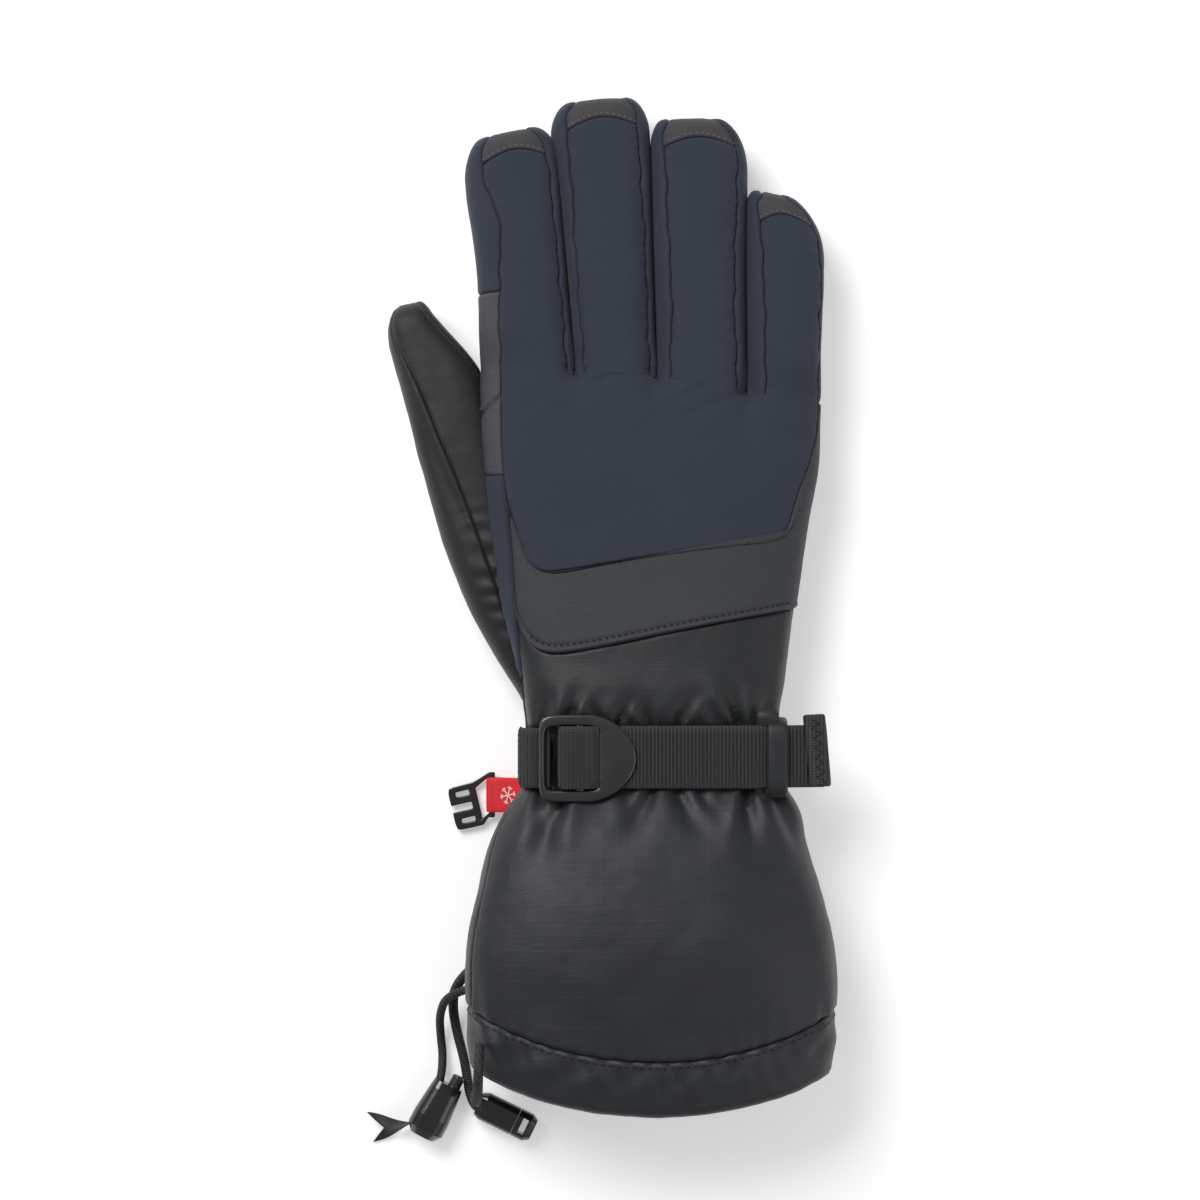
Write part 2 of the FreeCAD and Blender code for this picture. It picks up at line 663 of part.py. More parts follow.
def belt_loop():
    """The narrow keeper that the strap's tail passes through, sewn above and below it."""
    half = WEBBING_WIDTH / 2 + 0.5
    x0, x1 = BELT_LOOP_X - BELT_LOOP_WIDTH / 2, BELT_LOOP_X + BELT_LOOP_WIDTH / 2
    top = STRAP_Z + 2 * WEBBING + 2 * STRAP_CLEAR + 0.2
    outer = box(x0, x1, -half - BELT_LOOP_WALL, half + BELT_LOOP_WALL, BELT_LOOP_FOOT_Z, top + BELT_LOOP_WALL)
    inner = box(x0 - 1, x1 + 1, -half, half, 0.0, top)
    return outer.cut(inner).cut(gauntlet_form(-SKIN_CLEAR))


def strap_end():
    """The folded and stitched end of the tail, with the webbing's end inside it."""
    z = STRAP_Z + 2 * WEBBING + STRAP_CLEAR - STRAP_TAIL_DROP
    x0 = STRAP_TAIL_X - STRAP_END_WIDTH + STRAP_END_WALL
    half = STRAP_END_LENGTH / 2
    tab = box(0, STRAP_END_WIDTH, -half, half, -STRAP_END_HALF_THICK, STRAP_END_HALF_THICK)
    slot_side = WEBBING_WIDTH / 2 + SKIN_CLEAR
    slot_half = WEBBING / 2 + STRAP_CLEAR - SKIN_MARGIN
    slot = box(-1, STRAP_END_WIDTH - STRAP_END_WALL, -slot_side, slot_side, -slot_half, slot_half)
    tab = tab.cut(slot)
    slope = math.degrees(math.atan2(STRAP_TAIL_DROP, STRAP_TAIL_X - WRIST_RIGHT + STRAP_TAIL_FLAT_IN))
    tab.rotate(V(STRAP_END_WIDTH - STRAP_END_WALL, 0, 0), V(0, 1, 0), slope)
    tab.translate(V(x0, 0, z - WEBBING / 2))
    return tab


# ---- Tag and hook clip
def swung_gauntlet(angle):
    """The gauntlet, with clearance, as the tag meets it once it has swung up by an angle."""
    sleeve = gauntlet_form(-TAG_CLEAR)
    sleeve.rotate(V(*TAG_SEAM), V(*TAG_AXIS), -angle)
    return sleeve


def red_tag():
    """A folded ribbon from the side seam, with a loop round the clip's bar."""
    sx, sy, sz = TAG_SEAM
    bx, _, bz = TAG_BAR
    inner = CLIP_BAR_RADIUS + CLIP_BAR_PLAY
    outer = inner + TAG_PLY
    y0, y1 = sy - TAG_WIDTH / 2, sy + TAG_WIDTH / 2
    length = math.hypot(sx - bx, sz - bz)
    strip = box(inner + 0.3, length + TAG_WIDTH / 2, y0, y1, -TAG_PLY, TAG_PLY)
    ring = Part.makeCylinder(outer, TAG_WIDTH, V(0, y0, 0), V(0, 1, 0))
    whole = strip.fuse(ring).cut(Part.makeCylinder(inner, TAG_WIDTH + 2, V(0, y0 - 1, 0), V(0, 1, 0)))
    slope = math.degrees(math.atan2(sz - bz, sx - bx))
    whole.rotate(V(0, 0, 0), V(0, 1, 0), -slope)
    whole.translate(V(bx, 0, bz))
    for angle in TAG_SWING:
        whole = whole.cut(swung_gauntlet(angle))
    return max(whole.Solids, key=lambda solid: solid.Volume)


def hook_clip():
    """A flat moulded hook in the shape of an E, with a round bar that hangs in the tag."""
    wide, tall, thick = CLIP_PLATE
    half_w, half_t = wide / 2, tall / 2
    low = 0.35
    plate = prism([(-half_w, -half_t, 2), (half_w, -half_t, 2), (half_w, half_t, 2), (-half_w, half_t, 2)], 0, thick)
    for y0, y1 in ((1.0, half_t - 1.9), (-half_t + 1.9, -2.9)):
        plate = plate.cut(prism([(-half_w + 2.2, y0, 0.9), (half_w - 2.0, y0, 0.9), (half_w - 2.0, y1, 0.9),
                                 (-half_w + 2.2, y1, 0.9)], -1, thick + 1))
    plate = plate.cut(box(-half_w - 1, half_w - 4.2, -1.9, -0.0, -1, thick + 1))
    plate = placed(plate, (CLIP_CENTRE[0], CLIP_CENTRE[1], low), CLIP_TURN)
    bx, by, bz = TAG_BAR
    reach = TAG_WIDTH / 2 + 0.5
    bar = Part.makeCylinder(CLIP_BAR_RADIUS, 2 * (reach + 1.2), V(bx, by - reach - 1.2, bz), V(0, 1, 0))
    lugs = []
    for y0, y1 in ((by + reach, by + reach + 1.7), (by - reach - 1.7, by - reach)):
        lugs.append(box(CLIP_CENTRE[0] + 2.0, bx + CLIP_BAR_RADIUS, y0, y1, low + 0.2, bz + CLIP_BAR_RADIUS))
    return fused([plate, bar] + lugs)


# ---- Cords
def tube(points, radius, name):
    """A round cord along straight runs joined by tangent arcs as large as the runs allow."""
    route = [V(*p) for p in points]
    edges, radii = [], []
    start = route[0]
    for before, corner, after in zip(route, route[1:], route[2:]):
        back, on = before.sub(corner), after.sub(corner)
        reach = 0.45 * min(back.Length, on.Length)
        turn = math.pi - back.getAngle(on)
        radii.append(reach / math.tan(turn / 2))
        back.normalize()
        on.normalize()
        first, last = corner.add(back * reach), corner.add(on * reach)
        centre = corner.add(back.add(on).normalize() * math.hypot(reach, radii[-1]))
        middle = centre.add(corner.sub(centre).normalize() * radii[-1])
        edges.append(Part.makeLine(start, first))
        edges.append(Part.Arc(first, middle, last).toShape())
        start = last
    edges.append(Part.makeLine(start, route[-1]))
    path = Part.Wire(edges)
    ring = Part.Wire(Part.Circle(route[0], route[1].sub(route[0]), radius).toShape())
    solid = path.makePipeShell([ring], True, False)
    share = solid.Volume / (math.pi * radius * radius * path.Length)
    print(name, "length %.1f" % path.Length, "radii", [round(r, 1) for r in radii], "volume share %.3f" % share)
    return solid


def along(place, turn, across, forward, height=0.0):
    """A point given in a fitting's own frame: across it, forward along it, and above its axis."""
    a = math.radians(turn)
    x = place[0] + across * math.cos(a) - forward * math.sin(a)
    y = place[1] + across * math.sin(a) + forward * math.cos(a)
    return (x, y, place[2] + height)


def cord_end():
    """A moulded barrel in two halves that clamps the ends of the elastic."""
    half, tall = CORD_END_WIDTH / 2, CORD_END_DEPTH / 2
    body = lofted([
        (0, -half + 0.9, half - 0.9, -tall + 0.6, tall - 0.6, 2.4), (2, -half, half, -tall, tall, 2.8),
        (CORD_END_SPLIT - 0.1, -half, half, -tall, tall, 2.8),
    ])
    cap = lofted([
        (CORD_END_SPLIT + 0.1, -half, half, -tall, tall, 2.8), (CORD_END_LENGTH - 2, -half, half, -tall, tall, 2.8),
        (CORD_END_LENGTH, -half + 1.2, half - 1.2, -tall + 1.2, tall - 1.2, 2.0),
    ])
    for side in (-STRAND_OFFSET, STRAND_OFFSET):
        radius = CORD_RADIUS + CORD_HOLE_CLEAR / 2
        body = body.cut(Part.makeCylinder(radius, CORD_END_DEPTH_IN + 1, V(side, -1, 0), V(0, 1, 0)))
    window = box(-half + 2.2, half - 2.2, CORD_END_LENGTH - 4.6, CORD_END_LENGTH - 2.6, -FAR, FAR)
    both = Part.makeCompound([body, cap.cut(window)])
    return placed(both, CORD_END_MOUTH, CORD_END_TURN)


def lock_body():
    half, top, tall = LOCK_WIDTH / 2, LOCK_TOP_WIDTH / 2, LOCK_DEPTH / 2
    length = LOCK_LENGTH
    body = lofted([
        (0, -top, top, -tall + 1.6, tall - 1.6, 3.0),
        (2.5, -top - 0.4, top + 0.4, -tall + 0.8, tall - 0.8, 3.6),
        (length * 0.62, -half, half, -tall, tall, 4.2),
        (length - 2.5, -half, half, -tall, tall, 4.2),
        (length, -half + 2.0, half - 2.0, -tall + 1.8, tall - 1.8, 2.8),
    ])
    bore_depth = PLUNGER_LENGTH - PLUNGER_OUT + PLUNGER_TRAVEL + 2.0
    bore = Part.makeCylinder(PLUNGER_RADIUS + PLUNGER_CLEAR, bore_depth + 1, V(PLUNGER_OFFSET, -1, 0), V(0, 1, 0))
    hole = Part.makeCylinder(TETHER_RADIUS + CORD_HOLE_CLEAR, TETHER_DEPTH + 1, V(TETHER_OFFSET, -1, 0), V(0, 1, 0))
    return placed(body.cut(bore).cut(hole), LOCK_TOP, LOCK_TURN)


def lock_plunger():
    shaft = Part.makeCylinder(PLUNGER_RADIUS, PLUNGER_LENGTH, V(PLUNGER_OFFSET, -PLUNGER_OUT, 0), V(0, 1, 0))
    shaft = shaft.makeFillet(0.7, [e for e in shaft.Edges if e.BoundBox.YMax < -PLUNGER_OUT + 0.1])
    return placed(shaft, LOCK_TOP, LOCK_TURN)


def lock_spring():
    """Rings that stand for the coil spring behind the plunger."""
    start = PLUNGER_LENGTH - PLUNGER_OUT + 0.1
    room = PLUNGER_TRAVEL + 1.8
    pitch = room / SPRING_TURNS
    radius = PLUNGER_RADIUS - SPRING_WIRE - 0.2
    rings = []
    for turn in range(SPRING_TURNS):
        centre = V(PLUNGER_OFFSET, start + SPRING_WIRE + pitch * turn, 0)
        rings.append(Part.makeTorus(radius, SPRING_WIRE, centre, V(0, 1, 0)))
    return placed(Part.makeCompound(rings), LOCK_TOP, LOCK_TURN)


def ribbon_pull():
    """The flat pull ribbon, on edge where it leaves the lock and flat at its notched end."""
    stations = (
        ((-79.2, -121.0), 90.0, 5.4, 0.55), ((-84.0, -121.9), 62.0, 5.1, 0.8), ((-89.0, -122.7), 30.0, 3.4, 0.95),
        ((-94.6, -123.2), 14.0, 2.2, 1.0),
    )
    wires = []
    for (x, y), tilt, z, share in stations:
        a = math.radians(tilt)
        half, thick = PULL_WIDTH / 2 * share, PULL_THICK / 2
        points = []
        for across, out in ((-half, -thick), (half, -thick), (half, thick), (-half, thick)):
            rise = across * math.sin(a) + out * math.cos(a)
            points.append(V(x, y + across * math.cos(a) - out * math.sin(a), z + rise))
        wires.append(Part.makePolygon(points + points[:1]))
    return Part.makeLoft(wires, True, True)


# ---- Everything, by node name
def build():
    nodes = {}
    for spec in SPECS:
        name = spec["name"]
        plies = digit_plies(spec)
        back, fourchettes, palm = finger_panels(spec, plies["shell"])
        parts = {"back": back, "fourchettes": fourchettes, "palm": palm}
        for ply in ("membrane", "insulation", "lining"):
            parts[ply] = plies[ply]
        for part, shape in parts.items():
            nodes[name + "_" + part] = in_place(spec, shape)
    outer_x, seam_x = SIDE_PATCH[0][0], SIDE_PATCH[1][0]
    corners = [(outer_x, PATCH_OVERLAP_Y), (seam_x, PATCH_OVERLAP_Y), (seam_x, PATCH_TOP_Y), (outer_x, PATCH_TOP_Y)]
    patch_side = prism([(x, y, 0) for x, y in corners], SEAM_Z, FAR)
    nodes["index_side_patch"] = nodes["index_fourchettes"].common(patch_side)
    nodes["index_fourchettes"] = nodes["index_fourchettes"].cut(patch_side)

    plies = digit_plies(THUMB)
    split = box(-FAR, FAR, -FAR, FAR, THUMB_AXIS_Z, FAR)
    nodes["thumb_back"] = in_place(THUMB, plies["shell"].common(split))
    nodes["thumb_palm"] = in_place(THUMB, plies["shell"].cut(split))
    for ply in ("membrane", "insulation", "lining"):
        nodes["thumb_" + ply] = in_place(THUMB, plies[ply])

    plies = hand_plies()
    nodes.update(hand_panels(plies["shell"]))
    for ply in ("membrane", "insulation", "lining"):
        nodes["hand_" + ply] = plies[ply]
    nodes.update(gauntlet_parts())

    nodes["strap_webbing"] = strap_webbing()
    nodes["anchor_loop"] = anchor_loop()
    nodes["buckle"] = buckle()
    nodes["belt_loop"] = belt_loop()
    nodes["strap_end"] = strap_end()
    nodes["red_tag"] = red_tag()
    nodes["hook_clip"] = hook_clip()

    inside = CORD_END_DEPTH_IN
    upper_hole = [along(CORD_END_MOUTH, CORD_END_TURN, STRAND_OFFSET, y) for y in (0.0, inside)]
    lower_hole = [along(CORD_END_MOUTH, CORD_END_TURN, -STRAND_OFFSET, y) for y in (0.0, inside)]
    socket = [along(LOCK_TOP, LOCK_TURN, TETHER_OFFSET, y) for y in (0.0, TETHER_DEPTH)]
    print("cord end strands", upper_hole, lower_hole)
    print("tether socket", socket)
    nodes["drawcord_upper_leg"] = tube(UPPER_LEG + upper_hole, CORD_RADIUS, "drawcord_upper_leg")
    nodes["drawcord_lower_leg"] = tube(LOWER_LEG + lower_hole, CORD_RADIUS, "drawcord_lower_leg")
    nodes["lock_tether"] = tube(TETHER + socket, TETHER_RADIUS, "lock_tether")
    nodes["cord_end"] = cord_end()
    nodes["cord_lock_body"] = lock_body()
    nodes["cord_lock_plunger"] = lock_plunger()
    nodes["cord_lock_spring"] = lock_spring()
    nodes["ribbon_pull"] = ribbon_pull()
    return nodes


os.makedirs("parts", exist_ok=True)
for node, shape in sorted(build().items()):
    solids = len(shape.Solids)
    print("%-24s solids %d volume %9.1f valid %s" % (node, solids, shape.Volume, shape.isValid()))
    shape.exportStep("parts/" + node + ".step")
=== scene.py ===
# %% [markdown]
# # A padded snow glove, laid flat with the back of the hand up
#
# The hard frame of the glove is already designed: its sizes, its joints and its moulded fittings.
# Here the cloth goes over it. Each cloth panel is cut on the same body form, so that neighbours
# share a seam, and every length below is in millimetres until a mesh is made.

import math

import bpy
import bmesh
import numpy as np
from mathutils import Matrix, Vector, noise


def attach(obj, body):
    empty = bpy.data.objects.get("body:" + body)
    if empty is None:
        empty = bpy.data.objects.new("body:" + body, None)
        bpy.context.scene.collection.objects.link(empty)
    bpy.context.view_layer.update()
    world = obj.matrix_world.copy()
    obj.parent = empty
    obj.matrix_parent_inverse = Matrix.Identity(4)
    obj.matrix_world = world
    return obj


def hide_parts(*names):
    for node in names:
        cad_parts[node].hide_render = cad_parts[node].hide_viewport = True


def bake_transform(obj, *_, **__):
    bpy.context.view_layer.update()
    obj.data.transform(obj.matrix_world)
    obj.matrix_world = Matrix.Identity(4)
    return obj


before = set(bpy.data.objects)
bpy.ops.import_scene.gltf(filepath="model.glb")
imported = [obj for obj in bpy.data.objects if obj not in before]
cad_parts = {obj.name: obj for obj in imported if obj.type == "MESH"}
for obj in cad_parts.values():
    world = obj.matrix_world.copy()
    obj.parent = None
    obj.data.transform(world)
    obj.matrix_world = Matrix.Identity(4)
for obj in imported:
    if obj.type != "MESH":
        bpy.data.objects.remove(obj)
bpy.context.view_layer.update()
scene = bpy.context.scene
MM = 0.001

# %% [markdown]
# The camera looks straight down, far away with a long lens, so that the sides of the glove hardly
# show and its outline keeps its real proportions.

# %% Camera
lens_data = bpy.data.cameras.new("overhead_camera")
lens_data.lens = 120
lens_data.sensor_width = 36
camera = bpy.data.objects.new("overhead_camera", lens_data)
camera.location = (-0.0179, 0.0507, 1.32)
scene.collection.objects.link(camera)
scene.camera = camera
scene.view_settings.view_transform = "Standard"
print("camera height", camera.location.z)

# %% [markdown]
# A finish is a tree of nodes. One small class wraps a socket, so that sums on it read as plain
# arithmetic and each sum adds a Math node. Every other node comes from one method.

# %% Node helper
class Signal:
    """A number that varies over a surface; arithmetic on it adds Math nodes."""

    def __init__(self, finish, socket):
        self.finish, self.socket = finish, socket

    def math(self, operation, *others):
        return self.finish.node("Math", {"operation": operation}, {i: o for i, o in enumerate((self,) + others)})

    def __add__(self, other):
        return self.math("ADD", other)

    def __mul__(self, other):
        return self.math("MULTIPLY", other)

    def __rsub__(self, other):
        return self.math("MULTIPLY_ADD", -1.0, other)

    __radd__ = __add__
    __rmul__ = __mul__

    def sine(self):
        return self.math("SINE")

    def power(self, exponent):
        return self.math("POWER", exponent)

    def size(self):
        return self.math("ABSOLUTE")

    def limited(self):
        return self.finish.node("Clamp", {}, {"Value": self})


class Finish:
    """A material being made: its node tree, and the one method that adds a node."""

    def __init__(self, name):
        self.material = bpy.data.materials.new(name)
        self.material.use_nodes = True
        self.tree = self.material.node_tree
        self.shader = self.tree.nodes["Principled BSDF"]
        self.place = self.node("TexCoord", {}, {}, output="Object")

    def node(self, kind, settings, values, output=0):
        made = self.tree.nodes.new("ShaderNode" + kind)
        for key, value in settings.items():
            setattr(made, key, value)
        for key, value in values.items():
            self.feed(made.inputs[key], value)
        return Signal(self, made.outputs[output])

    def feed(self, socket, value):
        if isinstance(value, Signal):
            self.tree.links.new(value.socket, socket)
        else:
            socket.default_value = value

    def noise(self, scale, detail=3.0, stretch=(1, 1, 1)):
        moved = self.node("Mapping", {}, {"Vector": self.place, "Scale": stretch})
        return self.node("TexNoise", {}, {"Vector": moved, "Scale": scale, "Detail": detail})

    def axes(self):
        split = self.node("SeparateXYZ", {}, {"Vector": self.place}).socket.node
        return [Signal(self, split.outputs[i]) for i in range(3)]

    def between(self, share, low, high):
        mixed = self.tree.nodes.new("ShaderNodeMix")
        mixed.data_type = "RGBA"
        self.feed(mixed.inputs["Factor"], share)
        self.feed(mixed.inputs[6], low)
        self.feed(mixed.inputs[7], high)
        return Signal(self, mixed.outputs[2])

    def wear(self, colour, roughness, height, depth=0.0002, strength=0.6, **constants):
        """Plugs the finish into its shader; the constants stay plain numbers on the sockets."""
        self.feed(self.shader.inputs["Base Color"], colour)
        self.feed(self.shader.inputs["Roughness"], roughness)
        bump = self.node("Bump", {}, {"Height": height, "Distance": depth, "Strength": strength})
        self.feed(self.shader.inputs["Normal"], bump)
        for key, value in constants.items():
            self.shader.inputs[key.replace("_", " ")].default_value = value
        return self.material


def tone(red, green, blue):
    """A colour as it is named on a colour card, turned to the light values a shader needs."""
    card = [v / 255 for v in (red, green, blue)]
    return tuple(v / 12.92 if v <= 0.04045 else ((v + 0.055) / 1.055) ** 2.4 for v in card) + (1.0,)


def shade(colour, factor):
    return tuple(v * factor for v in colour[:3]) + (1.0,)


print("node helper ready")

# %% [markdown]
# The softshell is a tightly woven stretch cloth with a matt, slightly mottled face: a fine twill
# under a cloudy colour that is a little lighter where the nap catches light.

# %% Woven finishes
def woven(name, colour, thread=0.00055, twill=True, cloud=0.16, rough=0.78, sheen=0.25, streak=(1, 1, 1),
          grid=0.0, gloss=0.5):
    f = Finish(name)
    x, y, z = f.axes()
    turns = 2 * math.pi / thread
    if twill:
        weave = ((x + y) * turns).sine() * 0.5 + 0.5
    else:
        weave = ((x + z * 0.6) * turns).sine() * ((y + z * 0.4) * turns).sine() * 0.5 + 0.5
    mottled = f.noise(420.0, 4.0, streak)
    cloudy = f.noise(38.0, 3.0)
    speck = f.noise(2600.0, 2.0, streak)
    streaks = f.noise(950.0, 3.0, streak)
    share = (cloudy * 0.55 + mottled * 0.4 + speck * 0.4 + weave * 0.15 + streaks * 0.45) * 0.5
    height = weave * 0.35 + speck * 0.5 + mottled * 0.6 + streaks * 0.8
    if grid:
        lines_x = (x * (math.pi / grid)).sine().size().power(30.0)
        lines_y = (y * (math.pi / grid)).sine().size().power(30.0)
        lines = (lines_x + lines_y).limited()
        height = height + lines * 0.22
        share = share + lines * 0.05
    colour_low, colour_high = shade(colour, 1 - 2.2 * cloud), shade(colour, 1 + 2.2 * cloud)
    mixed = f.between(share.limited(), colour_low, colour_high)
    roughness = (speck * 0.18 + (rough - 0.09)).limited()
    return f.wear(mixed, roughness, height, 0.00012, 0.55, Sheen_Weight=sheen, Sheen_Roughness=0.5,
                  Specular_IOR_Level=gloss)


NAVY = woven("navy_softshell_cloth", tone(50, 56, 68), 0.00060, True, 0.14, 0.85, 0.10, gloss=0.25)
BLACK_NYLON = woven("black_nylon_cloth", tone(31, 33, 38), 0.00045, False, 0.28, 0.50, 0.05, (0.05, 1.0, 1.0),
                    0.0049, 0.46)
WRIST_NYLON = woven("wrist_nylon_cloth", tone(28, 30, 33), 0.00045, False, 0.20, 0.50, 0.05, (0.05, 1.0, 1.0),
                    0.0, 0.46)
THUMB_NYLON = woven("thumb_nylon_cloth", tone(33, 33, 35), 0.00045, False, 0.16, 0.54, 0.05, gloss=0.40)
FLEECE = woven("fleece_lining_cloth", tone(40, 41, 44), 0.0011, False, 0.35, 0.95, 0.4)
PULL_RIBBON = woven("pull_ribbon_cloth", tone(26, 27, 29), 0.00050, False, 0.2, 0.6, 0.05)
THREAD_DARK = woven("dark_thread", tone(20, 21, 23), 0.00030, True, 0.2, 0.6, 0.05, gloss=0.3)
THREAD_GREY = woven("grey_thread", tone(106, 108, 116), 0.00030, True, 0.2, 0.6, 0.1)
THREAD_NAVY = woven("navy_thread", tone(34, 38, 50), 0.00030, True, 0.2, 0.6, 0.1)
print("woven finishes", 9)

# %% [markdown]
# The leather is a soft coated hide: rounded pebbles a little under a millimetre across, with fine
# creases between them. A Voronoi texture gives the pebbles, and noise makes them uneven.

# %% Leather finishes
def hide(name, colour, pebble=1500.0, rough=0.58, cloud=0.12):
    f = Finish(name)
    pebbles = f.node("TexVoronoi", {"feature": "DISTANCE_TO_EDGE"}, {"Vector": f.place, "Scale": pebble})
    grain = (pebbles * 3.2).limited()
    fine = f.noise(pebble * 1.7, 3.0)
    cloudy = f.noise(45.0, 4.0)
    share = (grain * 0.35 + fine * 0.35 + cloudy * 0.5) * 0.8
    mixed = f.between(share.limited(), shade(colour, 1 - 2.4 * cloud), shade(colour, 1 + 2.2 * cloud))
    roughness = (1 - grain) * 0.16 + fine * 0.12 + (rough - 0.1)
    return f.wear(mixed, roughness, grain * 0.7 + fine * 0.5, 0.00018, 0.55, Specular_IOR_Level=0.4)


TRIM_LEATHER = hide("trim_leather_hide", tone(56, 58, 63))
CAP_LEATHER = hide("cap_leather_hide", tone(63, 61, 65), 1800.0, 0.62)
PATCH_LEATHER = hide("patch_leather_hide", tone(74, 74, 79), 1900.0, 0.64)
PALM_LEATHER = hide("palm_leather_hide", tone(34, 35, 38), 1300.0, 0.55)
print("leather finishes", 4)

# %% [markdown]
# Moulded nylon parts have a fine spark-eroded grain and rub smoother on their edges. Webbing,
# elastic and the woven label get their own pattern sizes. On webbing and elastic the colour is
# painted lighter on the rib crests and darker in the troughs: painted highlight and painted shade.

# %% Plastic, webbing and metal finishes
def moulded(name, colour, rough=0.32):
    f = Finish(name)
    grain = f.noise(3200.0, 2.0)
    smear = f.noise(120.0, 4.0)
    mixed = f.between(smear, shade(colour, 0.75), shade(colour, 1.3))
    roughness = grain * 0.16 + smear * 0.14 + (rough - 0.12)
    return f.wear(mixed, roughness, grain + smear * 0.6, 0.00005, 0.35, Specular_IOR_Level=0.6, Coat_Weight=0.5,
                  Coat_Roughness=0.12)


def corded_with_painted_shade(name, colour, rib=0.0012, rough=0.7, across=0.0):
    f = Finish(name)
    x, y, z = f.axes()
    rows = ((y + z * 0.5) * (2 * math.pi / 0.0009)).sine() * 0.5 + 0.5
    ribs = ((x + y * across) * (2 * math.pi / rib)).sine() * 0.5 + 0.5
    fuzz = f.noise(1900.0, 3.0)
    # painted highlight and painted shade: the colour is lighter on the rib and row crests and darker in the troughs
    share = (rows * 0.30 + ribs * 0.75 + fuzz * 0.35 + (-0.2)).limited()
    mixed = f.between(share, shade(colour, 0.35), shade(colour, 1.75))
    return f.wear(mixed, (fuzz * 0.2 + (rough - 0.1)).limited(), rows * 0.6 + ribs * 0.3 + fuzz * 0.4, 0.00015, 0.6,
                  Specular_IOR_Level=0.5)


BLACK_PLASTIC = moulded("black_moulded_plastic", tone(29, 29, 30), 0.30)
GLOSS_PLASTIC = moulded("gloss_moulded_plastic", tone(17, 17, 19), 0.22)
STEEL = moulded("spring_steel_wire", tone(170, 172, 176), 0.3)
STEEL.node_tree.nodes["Principled BSDF"].inputs["Metallic"].default_value = 1.0
WEBBING = corded_with_painted_shade("black_webbing", tone(43, 44, 45))
ELASTIC = corded_with_painted_shade("elastic_braid", tone(36, 36, 38), 0.0016, 0.65, 0.6)
RED_RIBBON = woven("red_woven_ribbon", tone(226, 22, 40), 0.00050, False, 0.10, 0.55, 0.1)
EMBLEM_THREAD = woven("emblem_thread", tone(250, 226, 228), 0.00040, False, 0.05, 0.6, 0.1)
print("hard and narrow finishes", 7)

# %% [markdown]
# The cords come first. Each has a route of listed points, and its true line is a smooth NURBS
# through them. The elastic is a braid, so its tube is a mesh with fine ribs that run round it, and
# it follows points read back from that spline.

# %% Cord routes
UPPER_LEG = [
    (-60.8, -70.5, 16), (-65.4, -75.2, 12.2), (-66.4, -83.5, 5.2), (-64.7, -93, 1.75), (-62.7, -100.2, 1.7),
    (-61.6, -107, 1.7), (-60.7, -112.4, 2.7), (-58.575, -116.369, 4), (-54.989, -118.141, 4),
]
LOWER_LEG = [
    (-56.4, -91.4, 41.2), (-56.6, -97.5, 45.4), (-56.9, -104.8, 43.6), (-57.3, -110.2, 35), (-58.2, -112.2, 24),
    (-58.9, -111.4, 14.2), (-59.2, -111.1, 8.2), (-57.025, -113.231, 4), (-53.439, -115.003, 4),
]
TETHER = [
    (-60.8, -76, 18), (-67.6, -78, 15.2), (-70.6, -85, 7.6), (-70.4, -92.8, 2.2), (-69.6, -99.6, 2.4),
    (-70.165, -107.047, 5.6), (-71.564, -109.701, 5.6),
]


def spline_line(name, route):
    """Points along the route's NURBS spline, in metres, close together."""
    data = bpy.data.curves.new(name, "CURVE")
    data.dimensions = "3D"
    spline = data.splines.new("NURBS")
    spline.points.add(len(route) - 1)
    for point, place in zip(spline.points, route):
        point.co = (place[0] * MM, place[1] * MM, place[2] * MM, 1.0)
    spline.order_u = 3
    spline.use_endpoint_u = True
    spline.resolution_u = 24
    carrier = bpy.data.objects.new(name, data)
    scene.collection.objects.link(carrier)
    bpy.context.view_layer.update()
    line = bpy.data.meshes.new_from_object(carrier)
    points = np.array([v.co for v in line.vertices], float)
    bpy.data.objects.remove(carrier)
    bpy.data.meshes.remove(line)
    return points


def mesh_piece(name, points, faces, finish, angle=40.0):
    """A new object from points in metres, with doubles merged and its material set."""
    mesh = bpy.data.meshes.new(name)
    mesh.from_pydata([tuple(p) for p in np.asarray(points, float)], [], faces)
    work = bmesh.new()
    work.from_mesh(mesh)
    bmesh.ops.remove_doubles(work, verts=work.verts, dist=0.00001)
    bmesh.ops.dissolve_degenerate(work, edges=work.edges, dist=0.000005)
    for face in work.faces:
        face.smooth = True
    for edge in work.edges:
        if len(edge.link_faces) == 2 and edge.calc_face_angle(0.0) > math.radians(angle):
            edge.smooth = False
    work.to_mesh(mesh)
    work.free()
    mesh.materials.append(finish)
    piece = bpy.data.objects.new(name, mesh)
    scene.collection.objects.link(piece)
    return piece


def even_points(points, step):
    """The same line with its points an even step apart, and the length along it."""
    points = np.asarray(points, float)
    reach = np.concatenate([[0.0], np.cumsum(np.linalg.norm(np.diff(points, axis=0), axis=1))])
    count = max(3, int(round(reach[-1] / step)) + 1)
    at = np.linspace(0.0, reach[-1], count)
    return np.stack([np.interp(at, reach, points[:, i]) for i in range(3)], 1), at


